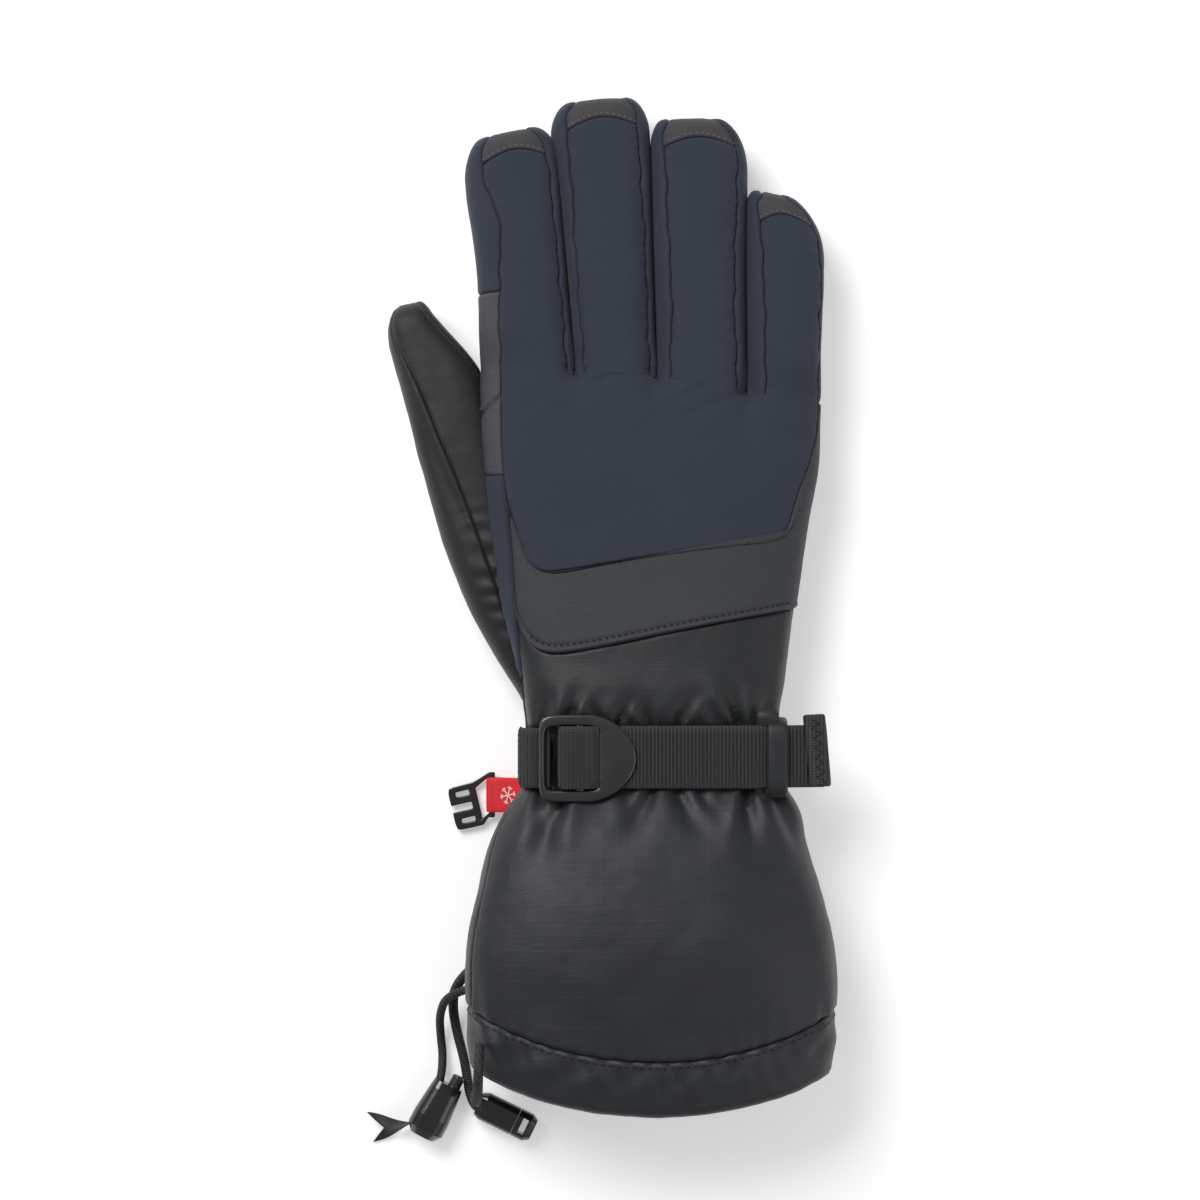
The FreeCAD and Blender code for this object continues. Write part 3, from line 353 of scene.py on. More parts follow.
def braid_tube(name, line, radius, finish, ribs, rib_height, sides=14, step=0.0003):
    """A tube along the line whose radius swells into slanting ribs, closed at both ends."""
    points, at = even_points(line, step)
    along = np.gradient(points, axis=0)
    along /= np.linalg.norm(along, axis=1)[:, None]
    up = Vector((0.3, 0.2, 1.0))
    rings = []
    for p, t, s in zip(points, along, at):
        t = Vector(t)
        side = (up - t * up.dot(t)).normalized()
        up = side
        other = t.cross(side)
        for k in range(sides):
            a = 2 * math.pi * k / sides
            swell = radius + rib_height * math.sin(2 * math.pi * s / ribs + a)
            rings.append(Vector(p) + side * (math.cos(a) * swell) + other * (math.sin(a) * swell))
    count = len(points)
    faces = []
    for i in range(count - 1):
        for k in range(sides):
            n = (k + 1) % sides
            faces.append((i * sides + k, i * sides + n, (i + 1) * sides + n, (i + 1) * sides + k))
    faces.append(tuple(range(sides))[::-1])
    faces.append(tuple((count - 1) * sides + k for k in range(sides)))
    print(name, "length mm", round(1000 * at[-1], 1))
    return mesh_piece(name, rings, faces, finish)


for cord_name, node, route, radius, wave in (
    ("elastic_upper_run", "drawcord_upper_leg", UPPER_LEG, 0.00160, 0.00010),
    ("elastic_lower_run", "drawcord_lower_leg", LOWER_LEG, 0.00160, 0.00010),
    ("lock_tether_cord", "lock_tether", TETHER, 0.00140, 0.00004),
):
    line = spline_line(cord_name + "_line", route)
    piece = braid_tube(cord_name, line, radius, ELASTIC, 0.0009, wave)
    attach(piece, "gauntlet")
    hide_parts(node)

# %% [markdown]
# Now the body form. A cross-section of the glove is a rounded box, drawn by an angle that is zero at
# the top and runs over the right side. Its left edge, right edge and top follow smooth lines along
# the glove, pinched in under the wrist strap and full on both sides of it.

# %% Body form
def flow(at, knots, column=1):
    """A smooth line through rows of (place, value, ...), read at any places."""
    places = np.array([k[0] for k in knots], float)
    values = np.array([k[column] for k in knots], float)
    slopes = np.gradient(values, places)
    at = np.clip(np.asarray(at, float), places[0], places[-1])
    i = np.clip(np.searchsorted(places, at) - 1, 0, len(places) - 2)
    span = places[i + 1] - places[i]
    t = (at - places[i]) / span
    rise = values[i] * (2 * t**3 - 3 * t**2 + 1) + values[i + 1] * (3 * t**2 - 2 * t**3)
    return rise + span * (slopes[i] * (t**3 - 2 * t**2 + t) + slopes[i + 1] * (t**3 - t**2))


def ease(t):
    t = np.clip(t, 0.0, 1.0)
    return t * t * (3 - 2 * t)


# along the glove, left edge, right edge, top, squareness of the section
BODY = (
    (-120, -58.0, 55.0, 46.0, 2.7), (-95, -60.2, 57.4, 49.0, 2.7), (-75, -61.4, 58.8, 50.0, 2.7),
    (-60, -61.0, 57.6, 50.0, 2.7), (-42, -57.2, 53.0, 47.5, 2.7), (-26, -52.8, 48.4, 43.5, 3.0),
    (-16, -47.4, 45.4, 39.0, 3.6), (-10.5, -43.2, 42.4, 36.0, 4.0), (0, -42.3, 41.6, 35.6, 4.2),
    (10, -42.3, 40.6, 35.8, 4.0), (16, -42.9, 40.8, 37.2, 3.4), (22, -43.8, 42.4, 37.4, 3.1),
    (32, -46.0, 43.8, 36.2, 3.0), (50, -50.6, 46.2, 34.8, 3.0), (75, -54.2, 49.8, 34.2, 3.0),
    (95, -56.1, 53.3, 34.2, 3.0), (110, -56.8, 53.7, 33.4, 3.0), (130, -57.0, 54.1, 32.5, 3.0),
)
# the bottom of each slit between two fingers
CROTCHES = ((-25.7, 124.5), (0.7, 123.2), (29.9, 118.0))
# the line across the knuckles, where the back of the hand turns into the fingers
KNUCKLE_LINE = (
    (-80.0, 125.5), (-50.3, 124.6), (-25.7, 124.5), (0.7, 123.2), (29.9, 118.0), (54.0, 114.5), (80.0, 113.0),
)


def knuckle_y(x):
    return np.interp(x, [p[0] for p in KNUCKLE_LINE], [p[1] for p in KNUCKLE_LINE])


def valley(x, y):
    """How far the back of the hand dips towards the slits."""
    dip = 0.0
    for cx, cy in CROTCHES:
        dip = dip + 5.5 * np.exp(-(((x - cx) / 3.3) ** 2)) * np.exp(-np.clip(cy - y, 0, None) / 4.5)
        dip = dip + 1.6 * np.exp(-(((x - cx) / 7.5) ** 2)) * np.exp(-np.clip(cy - y, 0, None) / 13.0)
    return dip


def ring(angle, left, right, low, high, square):
    """A point of a rounded box at an angle from its top."""
    s, c = np.sin(angle), np.cos(angle)
    reach = (np.abs(s) ** square + np.abs(c) ** square) ** (-1 / square)
    return 0.5 * (left + right) + 0.5 * (right - left) * s * reach, 0.5 * (low + high) + 0.5 * (high - low) * c * reach


def box_angle(share, square):
    """The angle of the point on the upper half whose sideways share is given, from -1 to 1."""
    share = np.clip(share, -0.99999, 0.99999)
    return np.arctan2(share, (1 - np.abs(share) ** square) ** (1 / square))


def body(angle, y):
    left, right, high, square = (flow(y, BODY, c) for c in (1, 2, 3, 4))
    x, z = ring(angle, left, right, 0.0, high, square)
    upper = ease(np.cos(angle) * 2.0)
    return np.stack([x, y + 0 * x, z - valley(x, y) * upper], -1)


def back_height(x, y):
    """The height of the back of the hand over a place."""
    left, right, high, square = (flow(y, BODY, c) for c in (1, 2, 3, 4))
    share = np.clip((x - 0.5 * (left + right)) / (0.5 * (right - left)), -0.9999, 0.9999)
    rise = (1 - np.abs(share) ** square) ** (1 / square)
    return 0.5 * high * (1 + rise) - valley(x, y), 0.5 * high * (1 - rise)


def on_body(points, rounds=3):
    """A line given from above as (x, y), with its corners eased, as (angle, y) on the body."""
    line = np.asarray(points, float)
    for _ in range(rounds):
        cut = np.stack([0.75 * line[:-1] + 0.25 * line[1:], 0.25 * line[:-1] + 0.75 * line[1:]], 1).reshape(-1, 2)
        line = np.concatenate([line[:1], cut, line[-1:]])
    fine, _ = even_points(np.concatenate([line, 0 * line[:, :1]], 1), 1.0)
    x, y = fine[:, 0], fine[:, 1]
    left, right, square = (flow(y, BODY, c) for c in (1, 2, 4))
    return np.stack([box_angle((x - 0.5 * (left + right)) / (0.5 * (right - left)), square), y], 1)


print("body form ready, widest", round(float(flow(-70, BODY, 2) - flow(-70, BODY, 1)), 1), "mm")

# %% [markdown]
# A panel is a grid spread between four edge lines on a form. Its sewn edges roll down into the seam,
# with small puckers where the thread pulls, and it is a closed shell about a millimetre thick.

# %% Panel maker
class Panel:
    """The finished grid of a panel, kept so that stitches can lie on it."""

    def __init__(self, points, normals, reach):
        self.points, self.normals, self.reach = points, normals, reach

    def line(self, side, inset):
        """A line on the panel at a distance in from one of its edges."""
        gaps = self.reach[side]
        along_rows = side in "BT"
        count = gaps.shape[1] if along_rows else gaps.shape[0]
        spots, ups = [], []
        for k in range(count):
            g = gaps[:, k] if along_rows else gaps[k]
            p = self.points[:, k] if along_rows else self.points[k]
            n = self.normals[:, k] if along_rows else self.normals[k]
            order = np.argsort(g)
            spots.append([np.interp(inset, g[order], p[order, i]) for i in range(3)])
            ups.append([np.interp(inset, g[order], n[order, i]) for i in range(3)])
        return np.array(spots), np.array(ups)


def cell_places(length, step, roll):
    """Shares from 0 to 1, close together near both ends where an edge rolls over."""
    near = np.array([0.0, 0.10, 0.28, 0.55, 0.85, 1.20, 1.6, 2.1]) * roll / max(length, 8 * roll)
    count = max(4, int(round(length * (1 - 2 * near[-1]) / step)))
    return np.concatenate([near[:-1], np.linspace(near[-1], 1 - near[-1], count), 1 - near[-2::-1]])


def along_line(line, shares, across):
    """Points at even shares of a line's length."""
    line = np.asarray(line, float)
    steps = np.hypot(np.diff(line[:, 0]) * across, np.diff(line[:, 1]))
    reach = np.concatenate([[0.0], np.cumsum(steps)])
    if reach[-1] < 1e-9:
        return np.repeat(line[:1], len(shares), 0)
    return np.stack([np.interp(shares * reach[-1], reach, line[:, i]) for i in range(2)], 1)


def line_length(line, across):
    line = np.asarray(line, float)
    return float(np.hypot(np.diff(line[:, 0]) * across, np.diff(line[:, 1])).sum())


def gaps_between(points, axis):
    steps = np.linalg.norm(np.diff(points, axis=axis), axis=2)
    zero = np.zeros_like(np.take(steps, [0], axis=axis))
    return np.concatenate([zero, np.cumsum(steps, axis=axis)], axis=axis)


def soft_noise(points, scale, seed):
    flat = points.reshape(-1, 3)
    values = [noise.noise(Vector((p[0] / scale + seed, p[1] / scale, p[2] / scale))) for p in flat]
    return np.array(values).reshape(points.shape[:-1])


def shell_faces(rows, columns):
    """Faces of a closed shell whose outer grid comes first and inner grid second."""
    inner = rows * columns
    faces = []
    for r in range(rows - 1):
        for c in range(columns - 1):
            a, b, d, e = r * columns + c, r * columns + c + 1, (r + 1) * columns + c + 1, (r + 1) * columns + c
            faces.append((a, b, d, e))
            faces.append((inner + e, inner + d, inner + b, inner + a))
    for c in range(columns - 1):
        a, b = c, c + 1
        faces.append((b, a, inner + a, inner + b))
        a, b = (rows - 1) * columns + c, (rows - 1) * columns + c + 1
        faces.append((a, b, inner + b, inner + a))
    for r in range(rows - 1):
        a, b = r * columns, (r + 1) * columns
        faces.append((a, b, inner + b, inner + a))
        a, b = r * columns + columns - 1, (r + 1) * columns + columns - 1
        faces.append((b, a, inner + a, inner + b))
    return faces


def panel(name, form, left, right, bottom, top, finish, sewn="LRBT", lift=0.0, depth=1.1, roll=1.4, step=1.3,
          thick=1.0, relief=None, across=45.0, pucker=0.12, fuzz=0.25, seed=0.0, pair=((0, 1), (0, 1)),
          one_side=False):
    """One cut and sewn panel on a form; the edge lines are (angle, length) pairs on that form.

    The pair lists shares of the bottom line and the shares of the top line that face them. A panel that
    lies on one side only has all its normals on that side, even over a small fold in the form.
    """
    wide = cell_places(max(line_length(bottom, across), line_length(top, across)), step, roll)
    tall = cell_places(max(line_length(left, across), line_length(right, across)), step, roll)
    low = along_line(bottom, wide, across)[None]
    high = along_line(top, np.interp(wide, *pair), across)[None]
    near, far = along_line(left, tall, across)[:, None], along_line(right, tall, across)[:, None]
    s, t = wide[None, :, None], tall[:, None, None]
    corners = (1 - s) * (1 - t) * low[:, :1] + s * (1 - t) * low[:, -1:] + (1 - s) * t * high[:, :1]
    corners = corners + s * t * high[:, -1:]
    flat = (1 - t) * low + t * high + (1 - s) * near + s * far - corners
    u, v = flat[..., 0], flat[..., 1]
    points = form(u, v)
    nudge = 0.004
    tangent_u = form(u + nudge, v) - form(u - nudge, v)
    tangent_v = form(u, v + 0.15) - form(u, v - 0.15)
    normals = np.cross(tangent_u, tangent_v)
    normals /= np.linalg.norm(normals, axis=2)[..., None] + 1e-12
    if one_side:
        normals[(normals @ normals.mean((0, 1))) < 0] *= -1
    along_u, along_v = gaps_between(points, 1), gaps_between(points, 0)
    reach = {"L": along_u, "R": along_u[:, -1:] - along_u, "B": along_v, "T": along_v[-1:] - along_v}
    push = lift + fuzz * soft_noise(points, 13.0, seed) + 0.35 * fuzz * soft_noise(points, 4.5, seed + 7)
    for side in sewn:
        gap, run = reach[side], (along_v if side in "LR" else along_u)
        fall = 1 - np.clip(gap / roll, 0, 1)
        push = push - depth * (1 - np.sqrt(np.clip(1 - fall**2, 0, 1)))
        wave = np.sin(run * (2 * math.pi / 4.3) + 2.0 * np.sin(run * 0.35 + seed) + seed)
        push = push + pucker * wave * np.exp(-gap / 2.6) * np.clip(gap / 0.6, 0, 1)
    if relief is not None:
        push = push + relief(points, reach)
    outer = points + normals * push[..., None]
    inner = outer - normals * thick
    both = np.concatenate([outer.reshape(-1, 3), inner.reshape(-1, 3)]) * MM
    piece = mesh_piece(name, both, shell_faces(*points.shape[:2]), finish, 50.0)
    made = Panel(outer, normals, reach)
    made.piece = piece
    return made


def straight(first, last):
    return np.array([first, last], float)


print("panel maker ready")

# %% [markdown]
# Stitches are real beads of thread. One bead is modelled once as a small spindle, and a copy lies
# along the surface at every stitch.

# %% Stitch maker
def stitches(name, line, ups, finish, pitch=2.4, length=1.5, radius=0.2, raise_by=0.05):
    """A row of short thread beads along a line in millimetres, joined into one piece."""
    line = np.asarray(line, float)
    reach = np.concatenate([[0.0], np.cumsum(np.linalg.norm(np.diff(line, axis=0), axis=1))])
    count = int(reach[-1] / pitch)
    rings, sides = ((-0.5, 0.15), (-0.32, 0.85), (0.0, 1.0), (0.32, 0.85), (0.5, 0.15)), 6
    points, faces = [], []
    for k in range(count):
        middle = (k + 0.5) * reach[-1] / count
        here = np.array([np.interp(middle, reach, line[:, i]) for i in range(3)])
        before = np.array([np.interp(middle - 0.3, reach, line[:, i]) for i in range(3)])
        after = np.array([np.interp(middle + 0.3, reach, line[:, i]) for i in range(3)])
        up = np.array([np.interp(middle, reach, ups[:, i]) for i in range(3)])
        t = after - before
        t /= np.linalg.norm(t) + 1e-12
        side = np.cross(t, up)
        side /= np.linalg.norm(side) + 1e-12
        up = np.cross(side, t)
        first = len(points)
        for share, wide in rings:
            for m in range(sides):
                a = 2 * math.pi * m / sides
                off = side * math.cos(a) + up * math.sin(a)
                bow = raise_by - 0.5 * radius * abs(2 * share) ** 2
                points.append((here + t * share * length + off * radius * wide + up * bow) * MM)
        for r in range(len(rings) - 1):
            for m in range(sides):
                n = (m + 1) % sides
                a, b = first + r * sides, first + (r + 1) * sides
                faces.append((a + m, b + m, b + n, a + n))
        faces.append(tuple(first + m for m in range(sides)))
        faces.append(tuple(first + (len(rings) - 1) * sides + m for m in range(sides))[::-1])
    print(name, count, "stitches")
    mesh = bpy.data.meshes.new(name)
    mesh.from_pydata([tuple(p) for p in points], [], faces)
    mesh.polygons.foreach_set("use_smooth", [True] * len(faces))
    mesh.materials.append(finish)
    piece = bpy.data.objects.new(name, mesh)
    scene.collection.objects.link(piece)
    return piece


def across_wrist(piece):
    """The piece's transform is baked into its mesh."""
    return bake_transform(piece)


# %% [markdown]
# Each finger is a box finger: a strip over the back, a leather cap over its tip, a side wall on each
# side and a leather palm face. The form is a rounded box that runs forward and closes in a flat,
# blunt tip. At its root it is lerped onto the back of the hand, so that the cloth runs on.

# %% Finger form
# half widths and seam insets are rows of (distance along, size); a corner is (across, along)
FINGERS = {
    "index": {
        "at": (-41.35, 124.0), "lean": 4.2, "length": 79.5, "tilt": 0.13, "bow": 0.8,
        "left": ((-30, 15.3), (0, 15.3), (16, 14.8), (27, 14.2), (37, 14.2), (48, 14.9), (58, 15.8), (66, 15.9), (80, 15.9)),
        "right": ((-30, 15.0), (0, 15.0), (40, 14.5), (66, 14.9), (80, 14.9)),
        "corners": ((7.0, 14.0), (8.0, 12.0)),
        "inset_left": ((-10, 6.4), (0, 6.5), (26, 7.0), (34, 7.4), (44, 9.2), (54, 8.8), (63, 6.6), (72, 5.2), (80, 3.5)),
        "inset_right": ((-10, 1.8), (50, 2.1), (66, 3.0), (80, 3.0)),
    },
    "middle": {
        "at": (-12.95, 123.5), "lean": 3.6, "length": 90.5, "tilt": 0.03, "bow": 1.2,
        "left": ((-30, 12.2), (0, 12.2), (45, 13.2), (66, 14.3), (76, 15.2), (92, 15.2)),
        "right": ((-30, 13.1), (0, 13.1), (45, 14.3), (75, 15.4), (92, 15.6)),
        "corners": ((5.5, 10.0), (6.0, 11.0)),
        "inset_left": ((-10, 2.0), (45, 2.6), (66, 3.8), (80, 4.2), (92, 3.6)),
        "inset_right": ((-10, 1.6), (50, 1.8), (75, 2.8), (92, 2.6)),
    },
    "ring": {
        "at": (14.85, 120.0), "lean": 1.3, "length": 87.5, "tilt": -0.02, "bow": 0.8,
        "left": ((-30, 13.6), (0, 13.6), (80, 13.9), (90, 13.9)),
        "right": ((-30, 14.5), (0, 14.5), (40, 15.0), (67, 16.0), (90, 16.2)),
        "corners": ((3.5, 7.0), (9.0, 17.0)),
        "inset_left": ((-10, 2.4), (30, 4.4), (55, 3.9), (75, 3.5), (90, 2.5)),
        "inset_right": ((-10, 2.6), (50, 2.8), (70, 2.2), (90, 2.2)),
    },
    "little": {
        "at": (42.1, 115.0), "lean": 1.0, "length": 67.5, "tilt": -0.22, "bow": 0.8,
        "left": ((-30, 11.7), (0, 11.7), (60, 11.3), (70, 11.3)),
        "right": ((-30, 11.9), (0, 11.9), (15, 12.2), (25, 12.7), (35, 13.3), (45, 13.7), (70, 14.2)),
        "corners": ((3.0, 6.0), (13.0, 21.0)),
        "inset_left": ((-10, 4.6), (20, 5.0), (45, 4.6), (60, 3.5), (70, 2.5)),
        "inset_right": ((-10, 0.9), (30, 1.1), (50, 1.6), (70, 3.0)),
    },
}
TIP_CURL = 6.5
TIP_RUN = 14.0
FINGER_SQUARE = 3.0
SEAM_WANDER = 0.45


def finger_frame(spec, a, b):
    turn = math.radians(spec["lean"])
    x, y = spec["at"]
    return x + a * math.cos(turn) - b * math.sin(turn), y + a * math.sin(turn) + b * math.cos(turn)


def finger_edges(spec, b):
    """The half widths of a finger at a distance along it, drawn in at the tip's corners."""
    halves = []
    for side, (wide, tall) in zip(("left", "right"), spec["corners"]):
        t = np.clip((b - (spec["length"] - tall)) / tall, 0, 1)
        halves.append(flow(b, spec[side]) - wide * (1 - np.sqrt(1 - t * t)))
    return halves


def finger_root(spec, a):
    """How far along the finger the knuckle line lies, for a place across it."""
    turn = math.radians(spec["lean"])
    b = 0.0 * a
    for _ in range(3):
        x, _y = finger_frame(spec, a, b)
        b = (knuckle_y(x) - spec["at"][1] - a * math.sin(turn)) / math.cos(turn)
    return b


def finger(spec):
    """The form of one finger: angle round it, and distance along it and down over its tip."""
    length = spec["length"]
    turn_at = length - TIP_CURL

    def form(angle, q):
        curl = np.clip((q - turn_at) / TIP_RUN, 0, 0.9985) * (math.pi / 2)
        b = np.where(q > turn_at, turn_at + TIP_CURL * np.sin(curl) ** 0.9, q)
        flatten = np.cos(curl) ** 0.8
        left, right = finger_edges(spec, b)
        share = np.clip(b / turn_at, -0.4, 1.0)
        low, high = 1.2 + 1.8 * share, 32.4 - 5.0 * share
        middle = 0.5 * (low + high) + 2.0 * ease(curl / 1.6)
        half = 0.5 * (high - low) * flatten
        a, z = ring(angle, -left, right, middle - half, middle + half, FINGER_SQUARE)
        reach = np.clip(b / length, 0, 1) ** 4
        tilted = b + reach * (spec["tilt"] * a - spec["bow"] * (a / 14.0) ** 2)
        x, y = finger_frame(spec, a, tilted)
        back, palm = back_height(x, y)
        upright = (z - middle) / np.maximum(half, 1e-6)
        blend = 1 - ease((q - finger_root(spec, a)) / 15.0)
        z = z + (back - z) * blend * ease(upright * 2.2)
        z = z + (palm - z) * blend * ease(-upright * 2.2)
        return np.stack([x, y, z], -1)

    return form


def finger_seam(spec, side, q, lower=False):
    """The angle of a finger's seam on one side, on its back or on its palm face."""
    b = np.minimum(q, spec["length"] - 0.6)
    left, right = finger_edges(spec, b)
    half = 0.5 * (left + right)
    inset = flow(b, spec["inset_" + side]) if not lower else 3.2 + 0 * b
    if not lower:
        inset = inset + SEAM_WANDER * np.sin(b * 0.46 + spec["length"]) * np.sin(b * 0.17)
    share = 1 - inset / half
    angle = box_angle(share, FINGER_SQUARE)
    angle = math.pi - angle if lower else angle
    return -angle if side == "left" else angle


def seam_line(spec, side, first, last, lower=False):
    q = np.linspace(first, last, 40)
    return np.stack([finger_seam(spec, side, q, lower), q], 1)


def root_line(spec, first_angle, last_angle):
    """The finger's end of the knuckle line, between two angles."""
    angle = np.linspace(first_angle, last_angle, 24)
    form = finger(spec)
    q = np.zeros(24)
    turn = math.radians(spec["lean"])
    for _ in range(4):
        place = form(angle, q)
        a = (place[:, 0] - spec["at"][0]) * math.cos(turn) + (place[:, 1] - spec["at"][1]) * math.sin(turn)
        q = finger_root(spec, a)
    return np.stack([angle, q], 1)


def along_finger(piece, name):
    """The piece's transform is baked into its mesh."""
    spec = FINGERS[name]
    start, end = finger_frame(spec, 0.0, 0.6), finger_frame(spec, 0.0, 25.0)
    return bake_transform(piece, "hand", name + "_finger", start=(start[0] * MM, start[1] * MM, 0.014),
                    end=(end[0] * MM, end[1] * MM, 0.014))


def tucked_in(points, reach):
    """The lower end of a wall sinks into the hand's outline."""
    return -1.3 * np.exp(-((reach["B"] / 3.0) ** 2))


def full_between(points, reach):
    """A wall between two fingers is full in its middle and sinks at both of its ends."""
    return -1.6 * np.exp(-((reach["B"] / 4.5) ** 2)) - 0.8 * np.exp(-((reach["T"] / 9.0) ** 2))


print("finger lengths", {k: v["length"] for k, v in FINGERS.items()})

# %% [markdown]
# The seam between strip and cap bows towards the tip, because the cap is cut on a curve. The cap then
# folds over the blunt end of the finger, where it meets the palm leather.

# %% Fingers
PATCH_TOP = 27.0
for number, (name, spec) in enumerate(FINGERS.items()):
    form = finger(spec)
    end = spec["length"] - TIP_CURL + TIP_RUN
    seam_at = spec["length"] - 9.8
    a0, a1 = float(finger_seam(spec, "left", 0.0)), float(finger_seam(spec, "right", 0.0))
    base = root_line(spec, a0, a1)
    turn = np.linspace(0, 1, 24)
    c0, c1 = float(finger_seam(spec, "left", seam_at)), float(finger_seam(spec, "right", seam_at))
    arc = np.stack([c0 + (c1 - c0) * turn, seam_at + 2.9 * np.sin(math.pi * turn)], 1)
    e0, e1 = float(finger_seam(spec, "left", end)), float(finger_seam(spec, "right", end))
    strip = panel(name + "_back_strip", form, seam_line(spec, "left", base[0, 1], seam_at),
                  seam_line(spec, "right", base[-1, 1], seam_at), base, arc, NAVY, "LRT",
                  across=14.0, step=1.0, seed=4.4, pucker=0.24, depth=1.5)
    cap = panel(name + "_tip_cap", form, seam_line(spec, "left", seam_at, end), seam_line(spec, "right", seam_at, end),
                arc, straight((e0, end), (e1, end)), CAP_LEATHER, "LRB", lift=-0.25, across=14.0,
                step=0.9, seed=5.3 * number, depth=0.7, roll=1.0, pucker=0.05, fuzz=0.15)
    p0, p1 = float(finger_seam(spec, "left", 0.0, True)), float(finger_seam(spec, "right", 0.0, True))
    f0, f1 = float(finger_seam(spec, "left", end, True)), float(finger_seam(spec, "right", end, True))
    pieces = [strip, cap]
    palm_base = root_line(spec, p1, 2 * math.pi + p0)
    palm_left = seam_line(spec, "left", palm_base[-1, 1], end, True) + np.array([2 * math.pi, 0])
    palm = panel(name + "_palm_face", form, seam_line(spec, "right", palm_base[0, 1], end, True), palm_left, palm_base,
                 straight((f1, end), (2 * math.pi + f0, end)), PALM_LEATHER, "LR", across=14.0,
                 step=1.6, seed=2.2 * number)
    pieces.append(palm)
    start = -5.0
    if name == "index":
        low_left = panel("index_patch", form, seam_line(spec, "left", base[0, 1], PATCH_TOP, True),
                         seam_line(spec, "left", base[0, 1], PATCH_TOP), straight((p0, base[0, 1]), (a0, base[0, 1])),
                         straight((float(finger_seam(spec, "left", PATCH_TOP, True)), PATCH_TOP),
                                  (float(finger_seam(spec, "left", PATCH_TOP)), PATCH_TOP)),
                         PATCH_LEATHER, "LRT", across=14.0, seed=1.4)
        pieces.append(low_left)
        along_finger(low_left.piece, name)
        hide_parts("index_side_patch")
        start = PATCH_TOP
    for side, flip in (("left", 1), ("right", -1)):
        first = start if side == "left" else -5.0
        at_hand_edge = (name, side) == ("little", "right")
        if at_hand_edge:
            first = float(base[-1, 1]) - 2.4
        palm_seam, back_seam = seam_line(spec, side, first, end, True), seam_line(spec, side, first, end)
        edges = (palm_seam, back_seam) if flip == 1 else (back_seam, palm_seam)
        outer_side = at_hand_edge or (name, side) == ("index", "left")
        full, uneven = (0.0, 0.25) if outer_side else (0.80, 0.08)
        ends = tucked_in if at_hand_edge else None if outer_side else full_between
        wall = panel(name + "_" + side + "_wall", form, edges[0], edges[1], straight(edges[0][0], edges[1][0]),
                     straight(edges[0][-1], edges[1][-1]), NAVY,
                     "LRB" if first > 0 else "LR", across=14.0, step=1.3, seed=1.7 * number + flip, lift=full,
                     fuzz=uneven, pucker=0.08, relief=ends, one_side=True)
        pieces.append(wall)
    seam_points, seam_ups = cap.line("B", 1.1)
    thread = stitches(name + "_cap_stitches", seam_points, seam_ups, THREAD_GREY, 1.9, 1.1, 0.17)
    for made in pieces:
        if made.piece.name != "index_patch":
            along_finger(made.piece, name)
    along_finger(thread, name)
    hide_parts(name + "_back", name + "_membrane", name + "_insulation", name + "_lining")
    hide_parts(name + "_palm")
    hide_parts(name + "_fourchettes")
    print(name, "pieces", len(pieces))

# %% [markdown]
# Between two fingers the walls meet in a small saddle of softshell. Its top end is tacked down with
# three short stitches that fan out from the end of the slit.

# %% Slit ends
WEB_LOW, WEB_HIGH, WEB_BACK = 5.0, 27.0, 3.6


def slit_end(cx, cy):
    """The form of a saddle: an angle across the slit, and the height."""

    def form(angle, z):
        x = cx + 2.6 * np.sin(angle)
        return np.stack([x, cy - WEB_BACK + 2.0 * (1 - np.cos(angle)), z + 0 * x], -1)

    return form


for k, (cx, cy) in enumerate(CROTCHES):
    web = panel("slit_end_" + str(k + 1), slit_end(cx, cy), straight((1.3, WEB_LOW), (1.3, WEB_HIGH)),
                straight((-1.3, WEB_LOW), (-1.3, WEB_HIGH)), straight((1.3, WEB_LOW), (-1.3, WEB_LOW)),
                straight((1.3, WEB_HIGH), (-1.3, WEB_HIGH)), NAVY, "", across=2.6, step=0.8, seed=k)
    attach(web.piece, "hand")
    for lean in (-0.9, 0.0, 0.9):
        reach = np.array([0.2, 2.2])
        x, y = cx + np.sin(lean) * reach, cy - np.cos(lean) * reach + 0.3
        z = back_height(x, y)[0] + 0.15
        row = stitches("slit_" + str(k + 1) + "_tack_" + str(int(lean * 10 + 10)), np.stack([x, y, z], 1),
                       np.tile([0.0, 0.0, 1.0], (2, 1)), THREAD_NAVY, 1.9, 1.8, 0.2, 0.1)
        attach(row, "hand")
print("slit ends", len(CROTCHES))

# %% [markdown]
# The back of the hand is one panel of softshell. Its lower edge is a wide U that laps over the
# leather trim band, and its upper edge runs into the finger strips at the knuckle line.

# %% Lines on the back of the hand
JOIN = (-48.3, 84.0)
UPPER_U = [
    JOIN, (-47.2, 78.4), (-44.8, 70.5), (-41.4, 62.4), (-36.0, 59.6), (-28.0, 60.4), (-8.9, 63.5), (4.1, 65.5),
    (22.4, 67.9), (38.1, 69.3), (42.2, 72.3), (44.6, 80.1), (46.8, 87.1), (49.2, 92.6), (52.2, 102.0), (53.0, 110.0),
    (53.15, 114.6),
]
LOWER_U = [
    JOIN, (-48.0, 79.3), (-46.7, 67.0), (-45.9, 55.0), (-45.2, 47.0), (-43.6, 41.5), (-40.8, 36.6), (-36.2, 33.8),
    (-30.0, 33.6), (-17.6, 35.7), (8.5, 41.2), (25.9, 44.4), (41.3, 47.2),
]
LEFT_SEAM = [JOIN, (-49.2, 90.0), (-49.8, 98.0), (-50.2, 110.0), (-50.3, 124.6)]
SIDE_ANGLE = math.radians(104)


def cut_line(line, first, last):
    """The part of a line between two shares of its length."""
    return along_line(line, np.linspace(first, last, 60), 45.0)


